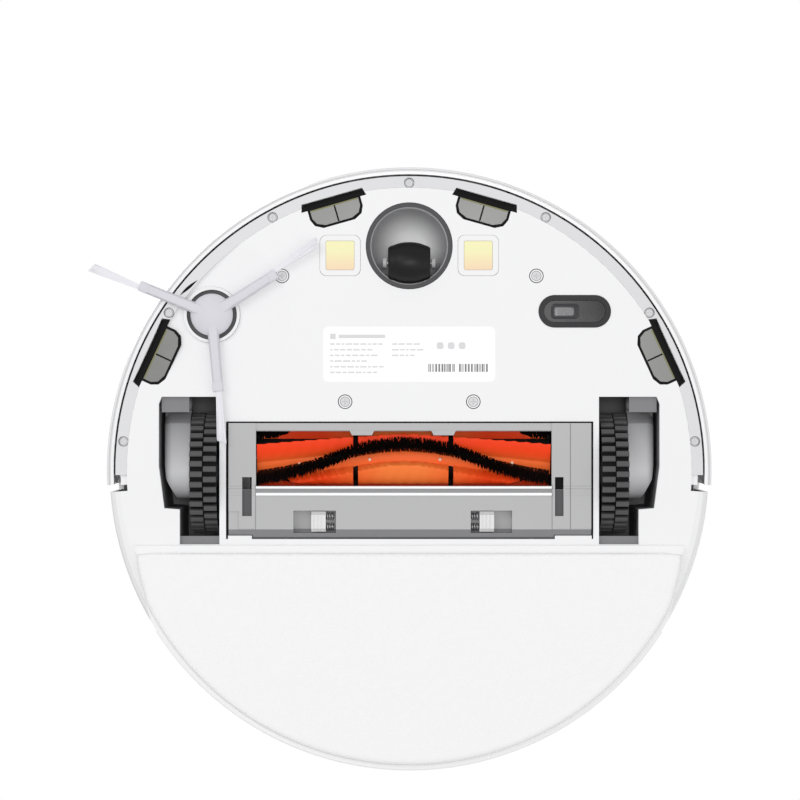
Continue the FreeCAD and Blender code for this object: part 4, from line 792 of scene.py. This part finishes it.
def flow_lens():
    """The lighter lens in the carpet sensor's black window."""
    low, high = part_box("flow_sensor_window")
    x = (low.x + high.x) / 2 / MM - 5.6
    y = (low.y + high.y) / 2 / MM
    bottom = low.z / MM
    shape = Shape()
    sizes = ((8.2, 4.5, 2.2, 0.05), (8.2, 4.5, 2.2, -0.2), (7.7, 4.0, 2.0, -0.4), (5.0, 2.2, 1.6, -0.46))
    rings = [rounded_outline(x, y, hx, hy, r) for hx, hy, r, _ in sizes]
    count = len(rings[0])
    points = [(px, py, bottom + size[3]) for ring, size in zip(rings, sizes) for px, py in ring]
    faces = []
    for row in range(len(rings) - 1):
        for index in range(count):
            after = (index + 1) % count
            faces.append((row * count + index, (row + 1) * count + index, (row + 1) * count + after,
                          row * count + after))
    faces.append(tuple((len(rings) - 1) * count + index for index in range(count)))
    faces.append(tuple(reversed(range(count))))
    shape.add(points, faces)
    return shape.piece("flow_lens", [lens_grey], "chassis", smooth=40)


def button_icons():
    """A generic power ring and a generic house outline on the two keys."""
    low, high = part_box("power_button")
    x = (low.x + high.x) / 2 / MM
    y = (low.y + high.y) / 2 / MM
    top = high.z / MM
    shape = Shape()
    arc = [(x + 3.0 * math.sin(math.radians(a)), y - 3.0 * math.cos(math.radians(a)) + 0.3, top)
           for a in range(38, 323, 12)]
    flat = [(-0.3, -0.05), (0.3, -0.05), (0.3, 0.04), (-0.3, 0.04)]
    shape.sweep(arc, [flat] * len(arc))
    shape.sweep([(x, y - 3.6, top), (x, y - 2.0, top), (x, y - 0.4, top)], [flat] * 3)
    shape.piece("power_icon", [print_dark], "power_key")
    low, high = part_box("home_button")
    x = (low.x + high.x) / 2 / MM
    shape = Shape()
    house = [(-3.6, 0.4), (0.0, -3.2), (3.6, 0.4)]
    walls = [(-2.6, -0.2), (-2.6, 3.0), (2.6, 3.0), (2.6, -0.2)]
    for line in (house, walls):
        for start, end in zip(line, line[1:]):
            path = [(x + start[0], y + start[1], top), (x + end[0], y + end[1], top)]
            shape.sweep(path, [flat] * 2)
    shape.piece("home_icon", [print_dark], "home_key")


# ---------------------------------------------------------------- caster, guard, cliff sensors, screw seats

LUG_INSIDE = 12.9
LUG_OUTSIDE = 15.4
WEB_RISES = (0.0, 6.0, 12.0, 17.0)


def caster_pieces():
    """The caster's smooth cup with its two bearing lugs, and the barrel-shaped wheel."""
    low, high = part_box("caster_swivel")
    axle_y, axle_z = box_middle("caster_axle")[1:]
    wheel_low, wheel_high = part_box("caster_wheel")
    centre_y = (low.y + high.y) / 2 / MM
    top = high.z / MM
    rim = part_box("caster_ring")[1].z / MM + 0.4
    edge = high.x / MM
    bowl = [(0.02, 34.4), (8.2, 33.8), (15.8, 29.9), (20.6, 23.6), (edge - 2.9, rim + 4.6)]
    inside = [(edge - 2.9, rim)] + smooth_line(bowl[::-1], 8)
    back = smooth_line([(4.0, 36.6), (9.0, 35.8), (17.0, 31.5), (22.6, 24.5), (edge, rim + 5.0)], 6)
    outside = [(0.02, top), (4.0, top), (4.0, 36.6)] + back + [(edge, rim), (edge - 2.9, rim)]
    shape = Shape()
    shape.lathe(inside + outside, (0.0, centre_y), 96)
    for sign in (-1.0, 1.0):
        near = sign * LUG_INSIDE
        far = sign * LUG_OUTSIDE
        ends = [(near, 2.4), (near + sign * 0.3, 3.05), (far - sign * 0.3, 3.05), (far, 2.5)]
        shape.sweep([(x, axle_y, axle_z) for x, size in ends], [circle(size, 28) for x, size in ends])
        shape.sweep([((near + far) / 2, axle_y, axle_z + rise) for rise in WEB_RISES],
                    [superellipse(2.9 - 0.05 * rise, 1.2, 20, 0.4) for rise in WEB_RISES], up=(1.0, 0.0,
                                                                                               0.0))
    shape.piece("caster_cup", [caster_cup], "caster_fork", ["caster_swivel"], smooth=40)
    half = wheel_high.x / MM
    radius = (wheel_high.z - wheel_low.z) / 2 / MM
    crown = smooth_line([(8.7, -half), (9.6, -half + 1.0), (10.4, -half + 3.2), (11.5, -6.0),
                         (radius - 0.12, -2.2),
                         (radius - 0.12, 2.2), (11.5, 6.0), (10.4, half - 3.2), (9.6, half - 1.0),
                         (8.7, half)], 6)
    profile = [(1.6, half - 0.4), (1.6, -half + 0.4), (7.2, -half + 0.5), (8.0, -half)] + crown + [
        (8.0, half), (7.2, half - 0.5), (1.6, half - 0.4)]
    shape = Shape()
    shape.lathe(profile, (axle_y, axle_z), 96, axis="X")
    shape.piece("caster_roller", [caster_rubber], "caster_roll", ["caster_wheel"],
                smooth=45)


def guard_details():
    """Two white strips behind the mouth, painted highlights on the edges of a grey lip, and dark grey sheets
    in the end caps' window recesses, painted shade.
    """
    low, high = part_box("brush_guard")
    left = low.x / MM
    right = high.x / MM
    bottom = low.z / MM
    shape = Shape()
    # Painted highlights: two thin white strips along the lip's edges, with the grey lip face between them.
    for start, end, lift in ((9.5, 10.75, 0.0), (13.25, 14.8, 0.4)):
        outline = [(left + 15.9, start), (right - 23.0, start), (right - 23.0, end), (left + 15.9, end)]
        shape.slab(outline, bottom + lift - 0.05, bottom + lift + 0.1)
    outline = [(left + 15.9, 10.75), (right - 23.0, 10.75), (right - 23.0, 13.25), (left + 15.9, 13.25)]
    shape.slab(outline, bottom + 1.1, bottom + 1.19, 1)
    shape.piece("guard_lip_highlights", [label_white, rail_grey], "guard")
    # Painted shade: dark grey sheets in the end caps' window recesses.
    shape = Shape()
    for start, end in ((left + 7.9, left + 13.5), (right - 21.1, right - 16.1)):
        shape.slab(rounded_outline((start + end) / 2, 19.1, (end - start) / 2 - 0.05, 7.6, 0.4, 2), 9.05,
                   9.19)
    shape.piece("guard_window_shade", [window_shade_grey], "guard")


def ring_outline(shape, spot, inner, outer, low, high, sides=40):
    """A thin flat ring about an upright axis at spot."""
    shape.lathe([(inner, low), (outer, low), (outer, high), (inner, high), (inner, low)], spot, sides)


def seat_lines():
    """Painted shade: dark rings in the gaps round each screw head and at the edge of its seat, and a dark
    sheet inside the drain slot by the side brush.
    """
    shape = Shape()
    for node, head, groove in (("base_screws", 2.62, 3.95), ("retainer_screws", 1.92, 2.75)):
        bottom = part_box(node)[0].z / MM
        spots = []
        for vertex in nodes[node].data.vertices:
            if abs(vertex.co.z / MM - bottom) < 0.3:
                place = Vector((vertex.co.x / MM, vertex.co.y / MM))
                near = [group for group in spots if (group[0] - place).length < 8.0]
                if near:
                    near[0].append(place)
                else:
                    spots.append([place])
        for group in spots:
            across = [place.x for place in group]
            along_y = [place.y for place in group]
            spot = ((min(across) + max(across)) / 2, (min(along_y) + max(along_y)) / 2)
            # Painted shade in the gap round the screw head and at the seat's edge.
            ring_outline(shape, spot, head + 0.06, head + 0.24, bottom + 0.5, bottom + 0.62)
            ring_outline(shape, spot, groove - 0.18, groove + 0.28, bottom + 0.6, bottom + 0.72)
    shape.piece("seat_lines", [outline_grey], "chassis")
    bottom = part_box("base_plate")[0].z / MM
    outer = []
    inner = []
    for step in range(17):
        share = step / 16
        turn = math.radians(DRAIN_START + (DRAIN_END - DRAIN_START) * share)
        depth = 0.1 + 1.55 * math.sin(math.pi * share)
        for line, radius in ((outer, 21.6), (inner, 21.6 - depth)):
            line.append((BRUSH_X + radius * math.cos(turn), BRUSH_Y + radius * math.sin(turn)))
    # Painted shade: a dark crescent sheet set inside the drain slot.
    shape = Shape()
    shape.slab(outer + inner[::-1], bottom + 0.75, bottom + 0.95)
    shape.piece("drain_slot_shade", [sensor_black], "chassis")


def cliff_ribs():
    """The dark rib across each cliff window, its dark outer edge and a thin olive edge line."""
    mesh = nodes["cliff_windows"].data
    corners = [(v.co.x / MM, v.co.y / MM) for v in mesh.vertices]
    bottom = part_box("cliff_windows")[0].z / MM
    shape = Shape()
    for node in ("front_left_cliff_housing", "front_right_cliff_housing", "side_left_cliff_housing",
                 "side_right_cliff_housing"):
        spot = Vector(box_middle(node)[:2])
        out = spot.normalized()
        side = Vector((-out.y, out.x))
        near = [Vector(c) for c in corners if (Vector(c) - spot).length < 26.0]
        deep = [c.dot(out) for c in near]
        wide = [c.dot(side) for c in near]
        middle = (min(wide) + max(wide)) / 2

        def patch(a, b, c, d, lift, look):
            outline = [out * u + side * v for u, v in ((a, c), (b, c), (b, d), (a, d))]
            shape.slab([(p.x, p.y) for p in outline], bottom - lift, bottom + 0.1, look)

        patch(min(deep) + 0.2, max(deep) - 2.4, middle - 0.45, middle + 0.45, 0.1, 0)
        patch(max(deep) - 1.7, max(deep) + 0.2, min(wide) - 0.1, max(wide) + 0.1, 0.12, 0)
        patch(max(deep) - 2.5, max(deep) - 1.7, min(wide) + 0.4, max(wide) - 0.4, 0.06, 1)
    shape.piece("cliff_ribs", [sensor_black, olive_line], "chassis")


# ---------------------------------------------------------------- mop pad

def mop_pad():
    """The flat microfibre pad: rounded, slightly quilted by its loops, with a turned edge."""
    low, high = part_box("mop_pad")
    front = low.y / MM
    rear = high.y / MM
    bottom = low.z / MM
    top = high.z / MM
    mesh = nodes["mop_pad"].data
    rim = [(v.co.x / MM, v.co.y / MM) for v in mesh.vertices if abs(v.co.z - high.z) < 0.2 * MM]
    centre = (0.0, (front + rear) / 2)
    rim.sort(key=lambda p: math.atan2(p[1] - centre[1], p[0] - centre[0]))
    sides = 240
    points = []
    outline = []
    for index in range(sides):
        angle = -math.pi + 2.0 * math.pi * index / sides
        reach = ray_to_rim(rim, centre, angle)
        outline.append((math.cos(angle) * reach, math.sin(angle) * reach))
    shape = Shape()
    levels = []
    insets = [(0.0, 0.5), (0.9, 0.22), (2.2, 0.06), (4.0, 0.0)]
    for inset, lift in insets:
        levels.append((inset, bottom + (top - bottom) * lift))
    shares = [1.0 - step / 40.0 for step in range(1, 40)]
    rows = []
    for inset, height in levels:
        rows.append([(centre[0] + x * (1 - inset / math.hypot(x, y)),
                      centre[1] + y * (1 - inset / math.hypot(x, y)), height) for x, y in outline])
    for share in shares:
        rows.append([])
        for x, y in outline:
            keep = (1 - 4.0 / math.hypot(x, y)) * share
            px = centre[0] + x * keep
            py = centre[1] + y * keep
            wave = 0.12 * math.sin(px * 0.55) * math.sin(py * 0.62) + dice.uniform(-0.07, 0.07)
            wave *= min(1.0, share * 3.0)
            rows[-1].append((px, py, bottom + 0.14 + wave * 0.8))
    for row in rows:
        points.extend(row)
    faces = []
    for row in range(len(rows) - 1):
        for index in range(sides):
            after = (index + 1) % sides
            faces.append((row * sides + index, (row + 1) * sides + index, (row + 1) * sides + after,
                          row * sides + after))
    last = (len(rows) - 1) * sides
    points.append((centre[0], centre[1], bottom + 0.14))
    for index in range(sides):
        faces.append((last + index, len(points) - 1, last + (index + 1) % sides))
    upper = len(points)
    points.extend((centre[0] + x * (1 - 0.9 / math.hypot(x, y)),
                   centre[1] + y * (1 - 0.9 / math.hypot(x, y)),
                   top - 0.05) for x, y in outline)
    for index in range(sides):
        after = (index + 1) % sides
        faces.append((after, upper + after, upper + index, index))
    points.append((centre[0], centre[1], top - 0.05))
    for index in range(sides):
        faces.append((upper + (index + 1) % sides, len(points) - 1, upper + index))
    shape.add(points, faces)
    obj = shape.piece("mop_cloth", [mop_cloth], "tank", ["mop_pad"], smooth=70)
    return obj


def ray_to_rim(rim, centre, angle):
    """Distance from the centre to the convex rim in one direction."""
    c = math.cos(angle)
    s = math.sin(angle)
    best = 0.0
    count = len(rim)
    for index in range(count):
        ax = rim[index][0] - centre[0]
        ay = rim[index][1] - centre[1]
        bx = rim[(index + 1) % count][0] - centre[0]
        by = rim[(index + 1) % count][1] - centre[1]
        cross = c * (by - ay) - s * (bx - ax)
        if abs(cross) < 1e-9:
            continue
        reach = (ax * (by - ay) - ay * (bx - ax)) / cross
        share = (ax * s - ay * c) / cross
        if reach > 0 and -1e-6 <= share <= 1 + 1e-6:
            best = max(best, reach)
    return best


# ---------------------------------------------------------------- stage, light, camera

def stage():
    mesh = bpy.data.meshes.new("floor")
    half = 4.0
    cells = 8
    points = []
    faces = []
    for row in range(cells + 1):
        for column in range(cells + 1):
            points.append((-half + 2 * half * column / cells, -half + 2 * half * row / cells, 0.0))
    for row in range(cells):
        for column in range(cells):
            corner = row * (cells + 1) + column
            faces.append((corner, corner + 1, corner + cells + 2, corner + cells + 1))
    mesh.from_pydata(points, [], faces)
    floor = bpy.data.objects.new("floor", mesh)
    bpy.context.scene.collection.objects.link(floor)
    look = surface("floor_pale", linear(240, 240, 241), rough=0.8, specular=0.1, relief=0.05, spread=0.01)
    tree = look.node_tree
    output = tree.nodes["Material Output"]
    side = tree.nodes.new("ShaderNodeNewGeometry")
    through = tree.nodes.new("ShaderNodeBsdfTransparent")
    pick = tree.nodes.new("ShaderNodeMixShader")
    tree.links.new(side.outputs["Backfacing"], pick.inputs["Fac"])
    tree.links.new(tree.nodes["Principled BSDF"].outputs["BSDF"], pick.inputs[1])
    tree.links.new(through.outputs["BSDF"], pick.inputs[2])
    tree.links.new(pick.outputs["Shader"], output.inputs["Surface"])
    mesh.materials.append(look)
    floor.visible_diffuse = False
    floor.visible_glossy = False
    floor.visible_transmission = False
    floor.visible_shadow = False


def lamp(name, place, size, watts):
    light = bpy.data.lights.new(name, "AREA")
    light.shape = "DISK"
    light.size = size
    light.energy = watts
    obj = bpy.data.objects.new(name, light)
    bpy.context.scene.collection.objects.link(obj)
    obj.location = place
    obj.rotation_euler = (-Vector(place)).to_track_quat("-Z", "Y").to_euler()


LAMPS = (
    ("key_below", (-0.9, -0.8, -1.6), 1.1, 6.0),
    ("fill_below", (1.0, 0.3, -1.5), 1.3, 2.5),
    ("front_below", (0.05, -0.1, -2.2), 0.5, 9.6),
    ("key_above", (-0.9, -0.9, 1.7), 1.1, 12.0),
    ("fill_above", (1.1, 0.8, 1.4), 1.3, 5.0),
)


def studio():
    world = bpy.data.worlds.new("studio")
    bpy.context.scene.world = world
    world.use_nodes = True
    tree = world.node_tree
    glow = tree.nodes["Background"]
    glow.inputs["Color"].default_value = (1.0, 1.0, 1.0, 1.0)
    glow.inputs["Strength"].default_value = 0.6
    seen = tree.nodes.new("ShaderNodeBackground")
    seen.inputs["Color"].default_value = (1.0, 1.0, 1.0, 1.0)
    seen.inputs["Strength"].default_value = 1.0
    path = tree.nodes.new("ShaderNodeLightPath")
    pick = tree.nodes.new("ShaderNodeMixShader")
    tree.links.new(path.outputs["Is Camera Ray"], pick.inputs["Fac"])
    tree.links.new(glow.outputs["Background"], pick.inputs[1])
    tree.links.new(seen.outputs["Background"], pick.inputs[2])
    tree.links.new(pick.outputs["Shader"], tree.nodes["World Output"].inputs["Surface"])
    for name, place, size, power in LAMPS:
        lamp(name, place, size, power)
    bpy.context.scene.view_settings.view_transform = "Standard"


CAMERA_DISTANCE = 1.5
SEEN_WIDTH = 0.4654
PICTURE_CENTRE = (-0.00535, -0.0407)


def camera():
    """Straight up at the underside, at the photograph's framing."""
    data = bpy.data.cameras.new("camera")
    obj = bpy.data.objects.new("camera", data)
    bpy.context.scene.collection.objects.link(obj)
    data.lens = data.sensor_width * CAMERA_DISTANCE / SEEN_WIDTH
    obj.location = (*PICTURE_CENTRE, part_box("base_plate")[0].z - CAMERA_DISTANCE)
    obj.rotation_euler = (math.pi, 0.0, 0.0)
    data.clip_end = 20.0
    bpy.context.scene.camera = obj


roller_skin()
roller_tufts()
brush_hub()
brush_fibres()
latch_springs()
wheel_springs()
label_print()
flow_lens()
button_icons()
caster_pieces()
guard_details()
cliff_ribs()
seat_lines()
mop_pad()
stage()
studio()
camera()
